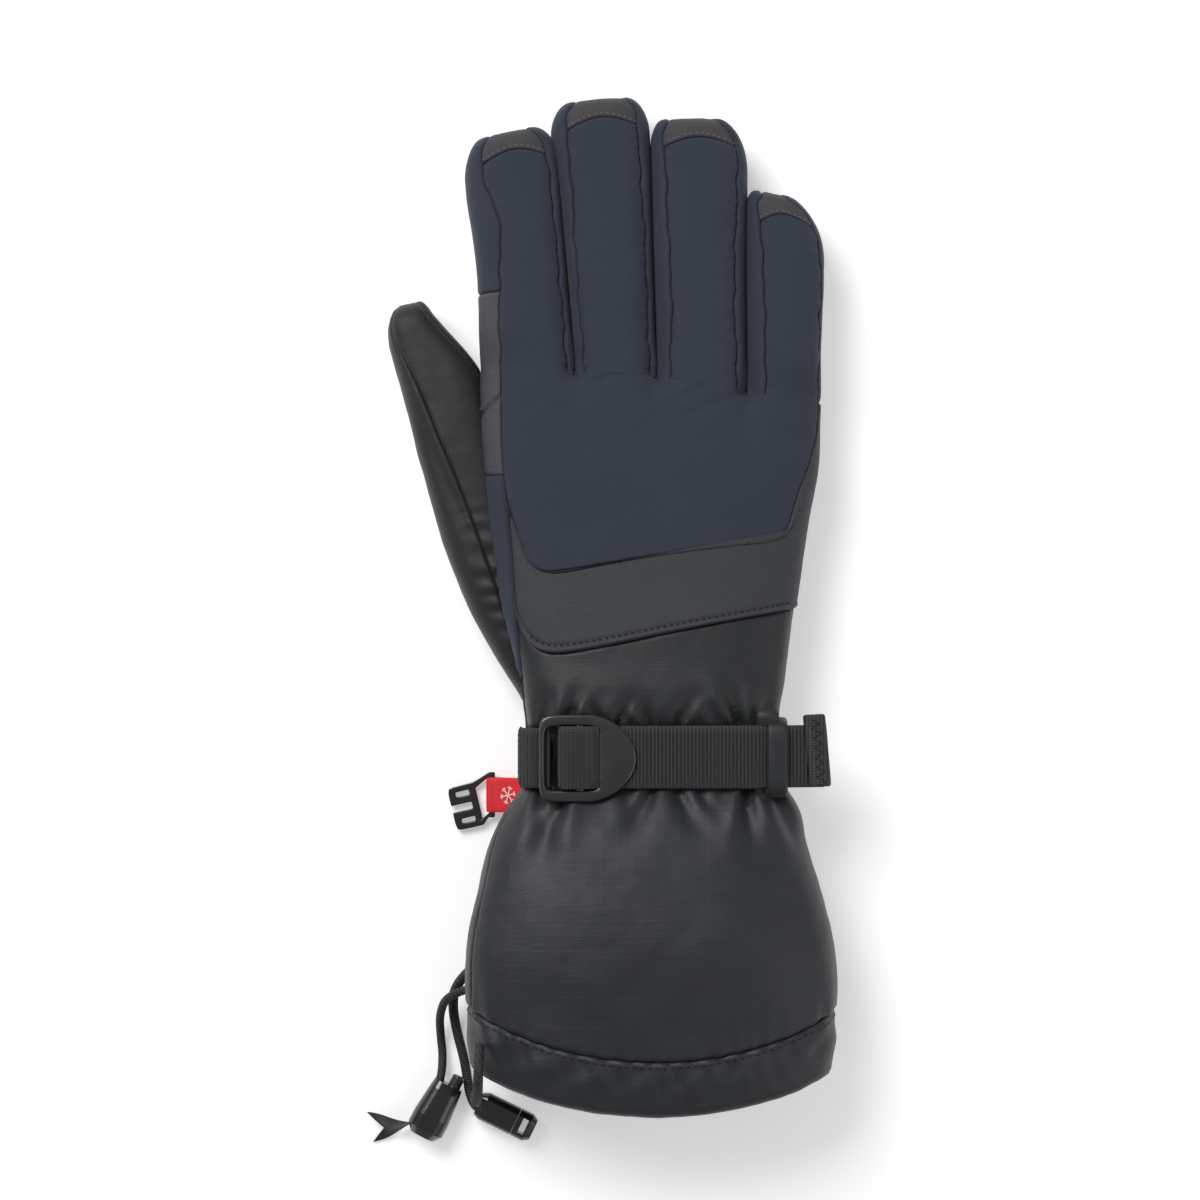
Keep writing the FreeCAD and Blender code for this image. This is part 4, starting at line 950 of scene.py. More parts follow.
upper_u, lower_u, left_seam = on_body(UPPER_U), on_body(LOWER_U), on_body(LEFT_SEAM)
knuckles = on_body([(p[0], p[1]) for p in ((-50.3, 124.6), *KNUCKLE_LINE[2:5], (53.15, 114.6))], 0)
back_left = np.concatenate([cut_line(upper_u, 0.0, 0.19)[::-1], left_seam[1:]])
back_right = cut_line(upper_u, 0.70, 1.0)
back_bottom = cut_line(upper_u, 0.19, 0.70)


def knuckle_folds(points, reach):
    """Soft diagonal folds that run down from the slits."""
    x, y = points[..., 0], points[..., 1]
    folds = 0.0
    for cx, cy, lean, size in ((-25.7, 119.0, 1.6, 0.8), (-20.0, 121.0, 2.6, -0.6), (0.7, 119.0, -1.4, 0.8),
                               (7.0, 116.0, 2.2, -0.6), (0.0, 113.0, 1.6, 0.6), (29.9, 113.5, -1.6, 0.8),
                               (23.0, 115.5, 2.4, -0.7), (38.0, 108.0, -1.3, -0.6)):
        off = (x - cx) - lean * (y - cy)
        folds = folds + size * np.exp(-((off / 2.6) ** 2)) * np.exp(-(((y - cy) / 6.5) ** 2))
    return folds


back = panel("back_of_hand", body, back_left, back_right, back_bottom, knuckles, NAVY, "LRB",
             depth=1.5, roll=1.5, relief=knuckle_folds, seed=4.4, pucker=0.10)
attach(back.piece, "hand")
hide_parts("back_panel", "hand_membrane", "hand_insulation")
print("back panel cells", back.points.shape[:2])

# %% [markdown]
# The trim band is leather, a thumb's width at the middle. It narrows up the left side to nothing and
# goes round the right edge of the hand. Dark stitches run along both of its edges.

# %% Trim band
low_end = (SIDE_ANGLE, 49.2)
trim_outer = np.concatenate([lower_u, straight(lower_u[-1], low_end)[1:]])
trim_right = np.array([low_end, (SIDE_ANGLE, 112.6), (math.radians(92), 114.4), tuple(upper_u[-1])])


def edge_ridges(points, reach):
    """A turned edge stands up as a ridge, and the stitch row behind it pulls a groove."""
    push = 0.0
    for side in "TB":
        push = push + 0.50 * np.exp(-(((reach[side] - 1.0) / 0.7) ** 2))
        push = push - 0.40 * np.exp(-(((reach[side] - 2.4) / 0.7) ** 2))
    return push * ease((points[..., 0] + 60) / 12) * ease((49 - points[..., 0]) / 8)


def share_near(line, x, y):
    """The share of a line's length at which it passes a place."""
    spot = on_body([(x, y), (x, y + 0.5)], 0)[0]
    step = np.hypot(np.diff(line[:, 0]) * 45.0, np.diff(line[:, 1]))
    reach = np.concatenate([[0.0], np.cumsum(step)])
    nearest = np.argmin(np.hypot((line[:, 0] - spot[0]) * 45.0, line[:, 1] - spot[1]))
    return float(reach[nearest] / reach[-1])


corners_low = [share_near(trim_outer, x, y) for x, y in ((-40.0, 36.0), (-17.6, 35.7), (8.5, 41.2), (41.0, 47.1))]
corners_high = [share_near(upper_u, x, y) for x, y in ((-40.5, 61.8), (-20.5, 61.6), (4.1, 65.5), (40.5, 71.0))]
facing = ([0.0] + corners_low + [1.0], [0.0] + corners_high + [1.0])
trim = panel("trim_leather_band", body, np.repeat(upper_u[:1], 2, 0), trim_right, trim_outer, upper_u, TRIM_LEATHER,
             "RBT", lift=0.15, depth=0.9, roll=0.8, step=1.0, seed=8.1, pucker=0.05, fuzz=0.2,
             relief=edge_ridges, pair=facing)
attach(trim.piece, "hand")
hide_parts("trim_band")
for label, side in (("upper", "T"), ("lower", "B")):
    spots, ups = trim.line(side, 2.4)
    keep = (spots[:, 0] > -41) & (spots[:, 0] < 44) & (spots[:, 1] < 80)
    trim_row = stitches("trim_" + label + "_stitches", spots[keep], ups[keep], THREAD_DARK,
                        2.1, 1.45, 0.27, 0.08)
    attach(trim_row, "hand")
print("trim band and two rows of stitches")

# %% [markdown]
# Two narrow pieces finish the left side: a leather patch along the forefinger's side of the hand,
# and below it a softshell gusset that tapers to a point beside the wrist.

# %% Side patch and gusset
PALM_ANGLE = math.radians(-112)


def patch_creases(points, reach):
    x, y = points[..., 0], points[..., 1]
    ridge = 0.7 * np.exp(-(((y - 115.5 - 0.9 * (x + 53)) / 0.8) ** 2))
    return ridge - 0.8 * np.exp(-(((y - 114.0 - 0.9 * (x + 53)) / 0.7) ** 2))


patch_right = on_body([(-49.25, 91.0), (-49.8, 98.0), (-50.2, 110.0), (-50.3, 124.6)])
patch = panel("side_leather_patch", body, straight((PALM_ANGLE, 91.0), (PALM_ANGLE, 124.6)), patch_right,
              straight((PALM_ANGLE, 91.0), patch_right[0]), straight((PALM_ANGLE, 124.6), patch_right[-1]),
              PATCH_LEATHER, "LRB", seed=2.9, relief=patch_creases, step=1.0)
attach(patch.piece, "hand")
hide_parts("hand_side_patch")
gusset_right = on_body([(-43.8, 25.4), (-44.6, 33.1), (-45.2, 47.0), (-45.9, 55.0), (-46.7, 67.0), (-48.0, 79.3),
                        JOIN, (-49.25, 91.0)])
gusset_left = np.array([
    (gusset_right[0, 0] - 0.05, 25.4), (math.radians(-88), 40.0), (PALM_ANGLE, 55.0), (PALM_ANGLE, 91.0),
])
gusset = panel("side_softshell_gusset", body, gusset_left, gusset_right, straight(gusset_left[0], gusset_right[0]),
               straight(gusset_left[-1], gusset_right[-1]), NAVY, "LRT", seed=6.6, lift=-0.1)
across_wrist(gusset.piece)
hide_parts("side_gusset")
print("side pieces done")

# %% [markdown]
# Nylon gathers where the strap pinches it. A fold starts at the strap's edge as a narrow crease
# between two plump ribs, and it widens and dies out further away.

# %% Gathers
# where each crease starts along the strap, how it leans, how far it runs, its depth and its width
FOLDS_BELOW = (
    (-36.0, -0.10, 15.0, 2.2, 2.0), (-29.5, -0.35, 19.0, 2.6, 2.2), (-19.0, 0.15, 11.0, 0.5, 2.4),
    (-9.0, 0.10, 12.0, 0.6, 2.2), (-1.5, -0.45, 11.0, 1.5, 2.1), (7.0, 0.50, 12.0, 1.6, 2.1),
    (14.5, 0.35, 9.0, 0.8, 1.8), (21.0, -0.20, 9.0, 0.4, 1.8), (29.0, 0.10, 15.0, 2.8, 1.9), (38.0, 0.45, 18.0, 1.7, 1.8),
)
FOLDS_ABOVE = (
    (-37.0, 0.10, 10.0, 1.0, 1.8), (-28.5, 0.20, 9.0, 1.9, 1.3), (-18.0, -0.45, 7.0, 1.3, 1.3),
    (-12.0, 0.35, 7.0, 1.2, 1.2),
    (-2.6, -0.25, 7.0, 1.3, 1.5), (7.0, 0.45, 8.0, 1.3, 1.6), (19.0, -0.10, 6.0, 0.6, 1.4),
    (27.0, -0.20, 11.0, 2.2, 1.6), (35.5, 0.20, 9.0, 1.0, 1.5),
)


def gathers(points, folds, edge, way):
    x, y, z = points[..., 0], points[..., 1], points[..., 2]
    away = np.clip((y - edge) * way, 0, None)
    top = ease((z - 10.0) / 12.0)
    push = 0.0
    for start, lean, run, size, width in folds:
        w = width * (0.75 + 1.1 * away / run)
        off = (x - start - lean * away) / w
        fade = np.exp(-((away / run) ** 2))
        push = push + size * fade * (0.45 * np.exp(-((np.abs(off) - 1.9) ** 2)) - np.exp(-(off**2)))
    return push * top


def wrist_relief(points, reach):
    return 1.35 * gathers(points, FOLDS_ABOVE, 10.5, 1) - 0.9 * ease((11 - points[..., 1]) / 4)


def cuff_relief(points, reach):
    x, y, z = points[..., 0], points[..., 1], points[..., 2]
    push = gathers(points, FOLDS_BELOW, -10.5, -1) - 0.9 * ease((y + 11.5) / 4)
    drape = 0.5 * soft_noise(points, 26.0, 3.0) * ease((-y - 20) / 25)
    hem_pull = np.exp(-reach["B"] / 5.0) * 0.35 * np.sin(x * 1.05 + 1.5 * np.sin(x * 0.21)) * ease((z - 8) / 10)
    return push + drape + hem_pull


trim_low = on_body(LOWER_U[4:])
wrist_top = np.concatenate([trim_low, straight(trim_low[-1], low_end)[1:]])
wrist_left = on_body([(-41.6, 0.0), (-42.4, 12.0), (-43.8, 25.4), (-44.6, 33.1), (-45.2, 47.0)])
wrist = panel("wrist_nylon_panel", body, wrist_left, straight((SIDE_ANGLE, 0.0), low_end),
              straight(wrist_left[0], (SIDE_ANGLE, 0.0)), wrist_top, WRIST_NYLON, "LRT", lift=-0.9,
              depth=0.9, relief=wrist_relief, seed=9.2, fuzz=0.3)
across_wrist(wrist.piece)
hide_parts("wrist_panel")
print("wrist panel cells", wrist.points.shape[:2])

# %% [markdown]
# The cuff is two panels, joined at side seams, and a puckered hem. The hem's lower line is a wide
# arc, so its radius from one centre sets how far down the glove each point lies.

# %% Cuff
HEM_CENTRE, HEM_EDGE, HEM_SEAM = 25.6, 140.0, 122.0
LEFT_SIDE, RIGHT_SIDE = math.radians(-66), math.radians(100)


def arc_y(angle, radius):
    """Where a circle about the hem's centre crosses the body, at an angle round the body."""
    y = np.full(np.shape(angle), -100.0)
    for _ in range(6):
        x = body(angle, y)[..., 0]
        y = HEM_CENTRE - np.sqrt(radius**2 - x**2)
    return y


def arc_line(first, last, radius, count=60):
    angle = np.linspace(first, last, count)
    return np.stack([angle, arc_y(angle, radius)], 1)


def cuff_panel(name, first, last, sewn, seed, relief, lift=0.0):
    seam = arc_line(first, last, HEM_SEAM)
    return panel(name, body, straight(seam[0], (first, 0.0)), straight(seam[-1], (last, 0.0)), seam,
                 straight((first, 0.0), (last, 0.0)), BLACK_NYLON, sewn, relief=relief, seed=seed,
                 fuzz=0.35, lift=lift, depth=1.2, roll=1.6, step=1.3)


cuff_back = cuff_panel("cuff_back_panel", LEFT_SIDE, RIGHT_SIDE, "LRB", 12.5, cuff_relief, 0.3)
cuff_palm = cuff_panel("cuff_palm_panel", RIGHT_SIDE, 2 * math.pi + LEFT_SIDE, "LRB", 15.5, None)
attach(cuff_back.piece, "gauntlet")
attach(cuff_palm.piece, "gauntlet")
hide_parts("gauntlet_back", "gauntlet_insulation")
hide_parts("gauntlet_palm")
print("cuff cells", cuff_back.points.shape[:2])

# %% [markdown]
# The hem turns over at the cuff's edge and is stitched back on itself, so it is a soft tube: down the
# outside, round the edge and up a little way inside.

# %% Hem
HEM_HALF = 2.3
HEM_INSIDE = 9.0


def hem_form(angle, v):
    """The hem's surface; v is zero at the seam and falls towards the edge and round inside."""
    run = -v
    flat = HEM_EDGE - HEM_HALF - HEM_SEAM
    bend = np.clip((run - flat) / HEM_HALF, 0, math.pi)
    inside = np.clip(run - flat - math.pi * HEM_HALF, 0, None)
    radius = HEM_SEAM + np.minimum(run, flat) + HEM_HALF * np.sin(bend) - inside
    offset = HEM_HALF * (1 - np.cos(bend))
    y = arc_y(angle, radius)
    here = body(angle, y)
    ahead, behind = body(angle + 0.01, y), body(angle - 0.01, y)
    out = np.cross(ahead - behind, np.array([0.0, 1.0, 0.0]))
    out /= np.linalg.norm(out, axis=-1)[..., None]
    return here - out * offset[..., None]


def hem_relief(points, reach):
    x, z = points[..., 0], points[..., 2]
    seam_gap = reach["T"]
    pull = 0.75 * np.exp(-seam_gap / 6.5) * np.sin(x * 0.86 - seam_gap * 0.35 + 1.4 * np.sin(x * 0.17))
    slack = 0.55 * np.sin(x * 0.38 + seam_gap * 0.30 + 0.6) * np.exp(-(((seam_gap - 7) / 5.0) ** 2))
    return (pull + slack) * ease((z - 6) / 10) + 0.5 * np.exp(-(((seam_gap - 8) / 6) ** 2))


hem_total = HEM_EDGE - HEM_HALF - HEM_SEAM + math.pi * HEM_HALF + HEM_INSIDE
turn_all = 2 * math.pi
hem = panel("puckered_hem", hem_form, straight((LEFT_SIDE, -hem_total), (LEFT_SIDE, 0.0)),
            straight((LEFT_SIDE + turn_all, -hem_total), (LEFT_SIDE + turn_all, 0.0)),
            straight((LEFT_SIDE, -hem_total), (LEFT_SIDE + turn_all, -hem_total)),
            straight((LEFT_SIDE, 0.0), (LEFT_SIDE + turn_all, 0.0)), BLACK_NYLON, "T",
            relief=hem_relief, seed=17.5, fuzz=0.3, depth=1.2, roll=1.6, step=1.3, thick=0.8)
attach(hem.piece, "gauntlet")
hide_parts("hem_band")
spots, ups = hem.line("T", 1.9)
keep = spots[:, 2] > 12
order = np.argsort(spots[keep][:, 0])
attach(stitches("hem_stitches", spots[keep][order], ups[keep][order], THREAD_DARK, 2.6, 1.7, 0.2, 0.1),
        "gauntlet")
print("hem stitched over", int(keep.sum()), "places")

# %% [markdown]
# Inside is a fleece lining that starts at the hem and runs on into the hand, where it closes in a
# pocket.

# %% Lining
LINING_IN = 5.4
LINING_END = 78.0


def lining_form(angle, y):
    here = body(angle, y)
    ahead, behind = body(angle + 0.01, y), body(angle - 0.01, y)
    out = np.cross(ahead - behind, np.array([0.0, 1.0, 0.0]))
    out /= np.linalg.norm(out, axis=-1)[..., None]
    inside = here - out * LINING_IN
    close = np.sqrt(np.clip(1 - np.clip((y - (LINING_END - 14)) / 14, 0, 0.9995) ** 2, 0, 1))[..., None]
    middle = np.stack([np.full_like(y, -2.0), y, np.full_like(y, 17.0)], -1)
    return middle + (inside - middle) * np.concatenate([close, np.ones_like(close), close], -1)


lining_low = arc_line(LEFT_SIDE, LEFT_SIDE + turn_all, HEM_EDGE - HEM_HALF - 4.0, 90)
lining_side = straight(lining_low[0], (LEFT_SIDE, LINING_END))
lining = panel("fleece_cuff_lining", lining_form, lining_side, lining_side + np.array([turn_all, 0.0]), lining_low,
               straight((LEFT_SIDE, LINING_END), (LEFT_SIDE + turn_all, LINING_END)), FLEECE, "",
               step=2.4, thick=1.1, fuzz=0.5, seed=21.0)
across_wrist(lining.piece)
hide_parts("gauntlet_lining", "hand_lining")
print("lining cells", lining.points.shape[:2])

# %% [markdown]
# The palm is one leather panel from the wrist to the knuckle line, drawn up at both sides to meet
# the side pieces.

# %% Palm
palm_right = straight((SIDE_ANGLE, 0.0), (SIDE_ANGLE, 114.6))
palm_left = np.array([(2 * math.pi + math.radians(-84), 0.0), (2 * math.pi + math.radians(-88), 25.4),
                      (2 * math.pi + math.radians(-100), 42.0), (2 * math.pi + PALM_ANGLE, 55.0),
                      (2 * math.pi + PALM_ANGLE, 124.6)])
palm_angles = np.linspace(SIDE_ANGLE, 2 * math.pi + PALM_ANGLE, 60)
palm_top = np.stack([palm_angles, knuckle_y(body(palm_angles, np.full(60, 120.0))[:, 0])], 1)
palm_top[0], palm_top[-1] = palm_right[-1], palm_left[-1]
palm = panel("palm_leather_panel", body, palm_right, palm_left, straight(palm_right[0], palm_left[0]), palm_top,
             PALM_LEATHER, "LR", seed=23.0, step=1.6, fuzz=0.4)
across_wrist(palm.piece)
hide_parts("palm_panel")
print("palm cells", palm.points.shape[:2])

# %% [markdown]
# The thumb is cut from plain black nylon. One seam runs down its back from the outer corner of the
# tip to the inner side of the root. The root and the thumb are made as separate pieces.

# %% Thumb form
THUMB = {
    "at": (-58.0, 80.0), "lean": 15.0, "length": 71.0, "tilt": -0.05, "bow": 0.8,
    "left": ((-66, 1.5), (-61, 2.9), (-50, 6.0), (-34, 10.0), (-18, 12.8), (0, 13.7), (20, 14.0), (41, 14.0), (72, 14.0)),
    "right": ((-66, 8.0), (-50, 11.0), (-20, 13.0), (0, 13.0), (36, 13.2), (46, 12.2), (52, 9.8), (58, 6.6), (65, 3.0),
              (72, 0.6)),
    "corners": ((7.0, 14.0), (1.5, 3.0)),
}


def thumb_form(angle, q):
    length = THUMB["length"]
    turn_at = length - 8.0
    curl = np.clip((q - turn_at) / 15.0, 0, 0.9985) * (math.pi / 2)
    b = np.where(q > turn_at, turn_at + 8.0 * np.sin(curl) ** 0.9, q)
    flatten = np.cos(curl) ** 0.8
    left, right = finger_edges(THUMB, b)
    high = flow(b, ((-66, 19.0), (-40, 22.5), (0, 23.2), (40, 22.4), (72, 20.5)))
    middle = 0.5 * (0.4 + high)
    half = 0.5 * (high - 0.4) * flatten
    a, z = ring(angle, -left, right, middle - half, middle + half, 2.7)
    reach = np.clip(b / length, 0, 1) ** 4
    x, y = finger_frame(THUMB, a, b + reach * (THUMB["tilt"] * a - THUMB["bow"] * (a / 14.0) ** 2))
    return np.stack([x, y, z], -1)


def thumb_seam(q):
    turns = (-66, -5.0), (-40, -4.0), (-16, -5.0), (0, -9.0), (25, -22.0), (50, -36.0), (66, -50.0), (80, -54.0)
    degrees = flow(q, turns)
    return np.stack([np.radians(degrees), q], 1)


def thumb_inner(q):
    """The seam on the thumb's inner side, where the palm leather comes up towards the tip."""
    degrees = flow(q, ((-66, 108.0), (-10, 106.0), (12, 92.0), (35, 66.0), (55, 50.0), (80, 46.0)))
    return np.stack([np.radians(degrees), q], 1)


def thumb_creases(points, reach):
    """Short creases across the root, where the thumb's cloth is eased into the hand."""
    turn = math.radians(THUMB["lean"])
    a = (points[..., 0] - THUMB["at"][0]) * math.cos(turn) + (points[..., 1] - THUMB["at"][1]) * math.sin(turn)
    b = -(points[..., 0] - THUMB["at"][0]) * math.sin(turn) + (points[..., 1] - THUMB["at"][1]) * math.cos(turn)
    rows = np.sin(b * 0.95 + 0.22 * a + 1.2 * np.sin(b * 0.21))
    where = np.exp(-(((b + 24) / 17) ** 2)) * np.exp(-(((a - 1.0) / 5.5) ** 2))
    long_fold = np.exp(-(((a + 5.5 + 0.16 * b) / 1.8) ** 2)) * np.exp(-(((b - 8) / 26) ** 2))
    return 0.9 * rows * where - 0.7 * long_fold


THUMB_END = THUMB["length"] - 8.0 + 15.0
UNDER_LEFT = math.radians(-118)
for part, first, last in (("root", -64.0, -2.0), ("thumb", -2.0, THUMB_END)):
    q = np.linspace(first, last, 40)
    seam, inner = thumb_seam(q), thumb_inner(q)
    lead = "thumb_root_" if part == "root" else "thumb_"
    outer_side = panel(lead + "outer_cloth", thumb_form, straight((UNDER_LEFT, first), (UNDER_LEFT, last)), seam,
                       straight((UNDER_LEFT, first), seam[0]), straight((UNDER_LEFT, last), seam[-1]), THUMB_NYLON,
                       "LR", across=13.0, seed=25.0, relief=thumb_creases, fuzz=0.35, depth=1.2)
    inner_side = panel(lead + "inner_cloth", thumb_form, seam, inner, straight(seam[0], inner[0]),
                       straight(seam[-1], inner[-1]), THUMB_NYLON,
                       "LR", across=13.0, seed=26.0, relief=thumb_creases, fuzz=0.35, depth=1.2)
    under = panel(lead + "palm_leather", thumb_form, inner,
                  straight((turn_all + UNDER_LEFT, first), (turn_all + UNDER_LEFT, last)),
                  straight(inner[0], (turn_all + UNDER_LEFT, first)),
                  straight(inner[-1], (turn_all + UNDER_LEFT, last)), PALM_LEATHER, "LR",
                  across=13.0, seed=27.0, fuzz=0.3)
    for made in (outer_side, inner_side, under):
        if part == "root":
            across_wrist(made.piece)
        else:
            start, end = finger_frame(THUMB, 0.0, -2.0), finger_frame(THUMB, 0.0, 22.0)
            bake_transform(made.piece, "hand", "thumb", start=(start[0] * MM, start[1] * MM, 0.011),
                     end=(end[0] * MM, end[1] * MM, 0.011))
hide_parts("thumb_base_panel")
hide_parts("thumb_back", "thumb_membrane", "thumb_insulation", "thumb_lining")
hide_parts("thumb_palm")
print("thumb pieces", 6)

# %% [markdown]
# Webbing is woven with a cord in every pick, so it has a rib a little over a millimetre wide across
# its whole width. The ribs are real here. One strip goes under the buckle, up round its centre bar
# and back out to the right as the tail.

# %% Webbing maker
def webbing(name, path, width, thick, finish, middle=0.0, rib=1.2, rib_height=0.32, step=0.15, skew=0.0,
            cells=22):
    """A flat strap along a path of (x, z) points in millimetres, ribbed across its width."""
    line = np.asarray(path, float)
    for _ in range(3):
        cut = np.stack([0.75 * line[:-1] + 0.25 * line[1:], 0.25 * line[:-1] + 0.75 * line[1:]], 1).reshape(-1, 2)
        line = np.concatenate([line[:1], cut, line[-1:]])
    spots, at = even_points(np.stack([line[:, 0], 0 * line[:, 0], line[:, 1]], 1), step)
    tangent = np.gradient(spots, axis=0)
    tangent /= np.linalg.norm(tangent, axis=1)[:, None]
    up = np.stack([-tangent[:, 2], 0 * tangent[:, 0], tangent[:, 0]], 1)
    shares = np.linspace(-1, 1, cells)
    edge = np.sqrt(np.clip(1 - np.abs(shares) ** 9, 0.02, 1))
    rows = 0.5 + 0.5 * np.cos(shares * width * math.pi / 1.7)
    swell = rib_height * (np.sin(at * (2 * math.pi / rib))[:, None] * (0.65 + 0.35 * rows[None]))
    half = 0.5 * thick * edge[None] + swell * edge[None]
    drift = middle + skew * (at - at[0])
    base = spots[:, None, :] + np.stack([0 * shares, 0.5 * width * shares, 0 * shares], 1)[None]
    base[..., 1] += drift[:, None]
    top, low = base + up[:, None] * half[..., None], base - up[:, None] * half[..., None]
    count = len(spots)
    both = np.concatenate([top.reshape(-1, 3), low.reshape(-1, 3)]) * MM
    faces = [f[::-1] for f in shell_faces(count, cells)]
    print(name, "length mm", round(float(at[-1]), 1))
    return mesh_piece(name, both, faces, finish, 60.0)


strap_path = [(36.0, 35.6), (26.0, 36.0), (10.0, 36.3), (-16.0, 36.9), (-27.5, 36.9), (-30.4, 37.6), (-30.9, 40.6),
              (-28.6, 42.0), (-24.4, 42.1), (-21.0, 41.6), (-18.6, 39.3), (-14.0, 38.5), (0.0, 38.3), (34.0, 38.3),
              (45.0, 37.6), (54.0, 35.6)]
strap = webbing("wrist_strap_webbing", strap_path, 20.0, 1.25, WEBBING, skew=0.004)
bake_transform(strap)
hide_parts("strap_webbing")

# %% [markdown]
# The buckle is moulded in one piece: a frame with a thin rail at the left, where its anchor webbing
# turns, a centre bar, and a broad rounded tab to pull on. A ring of points becomes the outer edge,
# and its extruded copy becomes the window.

# %% Buckle
def rounded_side(turn, left, right, half, squares):
    """A point of an outline whose left and right halves have their own squareness."""
    s, c = math.sin(turn), math.cos(turn)
    square = squares[0] if c < 0 else squares[1]
    reach = (abs(s) ** square + abs(c) ** square) ** (-1 / square)
    return (left if c < 0 else right) * abs(c) * reach, half * s * reach


BUCKLE_LOW, BUCKLE_THICK = 37.8, 2.6
bpy.ops.object.select_all(action="DESELECT")
bpy.ops.mesh.primitive_circle_add(vertices=96, radius=1.0, location=(0, 0, 0))
buckle_frame = bpy.context.active_object
buckle_frame.name = "ladder_lock_buckle"
bpy.ops.object.mode_set(mode="EDIT")
bpy.ops.mesh.select_all(action="SELECT")
bpy.ops.mesh.extrude_edges_move()
work = bmesh.from_edit_mesh(buckle_frame.data)
for v in work.verts:
    turn = math.atan2(v.co.y, v.co.x)
    if v.select:
        x, y = rounded_side(turn, -9.4, 8.2, 10.3, (9.0, 9.0))
        x, lift = x - 26.3, 0.0
    else:
        x, y = rounded_side(turn, -15.6, 15.6, 14.0, (8.0, 1.85))
        x, lift = x - 21.8, 0.35 * max(0.0, (x - 4.0) / 10.0) ** 2
    v.co = Vector((x, y, BUCKLE_LOW + BUCKLE_THICK + lift - 0.35)) * MM
bmesh.update_edit_mesh(buckle_frame.data)
bpy.ops.mesh.select_all(action="SELECT")
bpy.ops.mesh.normals_make_consistent(inside=False)
bpy.ops.object.mode_set(mode="OBJECT")
if buckle_frame.data.polygons[0].normal.z < 0:
    buckle_frame.data.flip_normals()
thicken = buckle_frame.modifiers.new("thickness", "SOLIDIFY")
thicken.thickness = (BUCKLE_THICK - 0.35) * MM
thicken.offset = -1.0
round_off = buckle_frame.modifiers.new("round_edges", "BEVEL")
round_off.width = 0.75 * MM
round_off.segments = 4
round_off.limit_method = "ANGLE"
for change in ("thickness", "round_edges"):
    bpy.ops.object.modifier_apply(modifier=change)
bpy.ops.mesh.primitive_cube_add(size=1.0, location=(-0.0244, 0, (BUCKLE_LOW + 1.1) * MM))
bpy.ops.object.mode_set(mode="EDIT")
bpy.ops.mesh.select_all(action="SELECT")
bpy.ops.transform.resize(value=(2.6 * MM, 23.0 * MM, 1.9 * MM))
bpy.ops.mesh.bevel(offset=0.6 * MM, segments=3)
bpy.ops.object.mode_set(mode="OBJECT")
buckle_frame.select_set(True)
bpy.context.view_layer.objects.active = buckle_frame
bpy.ops.object.join()
bpy.ops.object.transform_apply(location=True, rotation=True, scale=True)
for face in buckle_frame.data.polygons:
    face.use_smooth = True
buckle_frame.data.materials.clear()
buckle_frame.data.materials.append(BLACK_PLASTIC)
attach(buckle_frame, "buckle")
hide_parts("buckle")
print("buckle faces", len(buckle_frame.data.polygons))

# %% [markdown]
# Three short pieces hold the strap: a loop that anchors the buckle at the left, a keeper for the
# tail, and the folded and stitched end that stops the tail slipping out.

# %% Strap loops and end
anchor = webbing("buckle_anchor_webbing", [(-43.6, 19.0), (-43.7, 27.0), (-42.6, 33.2), (-39.6, 36.0), (-36.0, 36.8),
                                          (-33.9, 37.2)], 19.2, 1.3, WEBBING)
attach(anchor, "gauntlet")
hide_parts("anchor_loop")


def crosswise(name, path, width, thick, finish, middle, rib_height=0.0, bow=0.0):
    """A narrow band whose path runs over the strap, given as (y, z) points, at a place along it."""
    line = np.asarray(path, float)
    for _ in range(3):
        cut = np.stack([0.75 * line[:-1] + 0.25 * line[1:], 0.25 * line[:-1] + 0.75 * line[1:]], 1).reshape(-1, 2)
        line = np.concatenate([line[:1], cut, line[-1:]])
    spots, at = even_points(np.stack([0 * line[:, 0], line[:, 0], line[:, 1]], 1), 0.35)
    tangent = np.gradient(spots, axis=0)
    tangent /= np.linalg.norm(tangent, axis=1)[:, None]
    up = np.stack([0 * tangent[:, 0], -tangent[:, 2], tangent[:, 1]], 1)
    shares = np.linspace(-1, 1, 15)
    edge = np.sqrt(np.clip(1 - np.abs(shares) ** 5, 0.02, 1))
    crown = bow * (1 - shares**2)
    ripple = rib_height * np.sin(at * (2 * math.pi / 0.8))[:, None] * (1 - shares[None] ** 2)
    base = spots[:, None] + np.stack([middle + 0.5 * width * shares, 0 * shares, 0 * shares], 1)[None]
    half = 0.5 * thick * edge
    top = base + up[:, None] * (half + crown + ripple)[..., None]
    low = base - up[:, None] * (half + 0 * ripple)[..., None]
    both = np.concatenate([top.reshape(-1, 3), low.reshape(-1, 3)]) * MM
    return mesh_piece(name, both, shell_faces(len(spots), 15), finish, 60.0)


KEEPER_ARCH = [(12.4, 29.5), (12.0, 35.0), (11.2, 38.6), (9.4, 39.9), (4.0, 40.1), (-4.0, 40.1), (-9.4, 39.9),
               (-11.2, 38.6), (-12.0, 35.0), (-12.4, 29.5)]
keeper = crosswise("tail_keeper_loop", KEEPER_ARCH, 6.4, 1.1, WRIST_NYLON,
                   39.0, 0.05, 0.45)
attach(keeper, "gauntlet")
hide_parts("belt_loop")
tuck = crosswise("keeper_tuck", [(8.5, 36.6), (11.5, 37.6), (13.8, 38.0), (15.2, 36.6)], 7.5, 1.6, WRIST_NYLON,
                 35.8, 0.0, 0.5)
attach(tuck, "gauntlet")


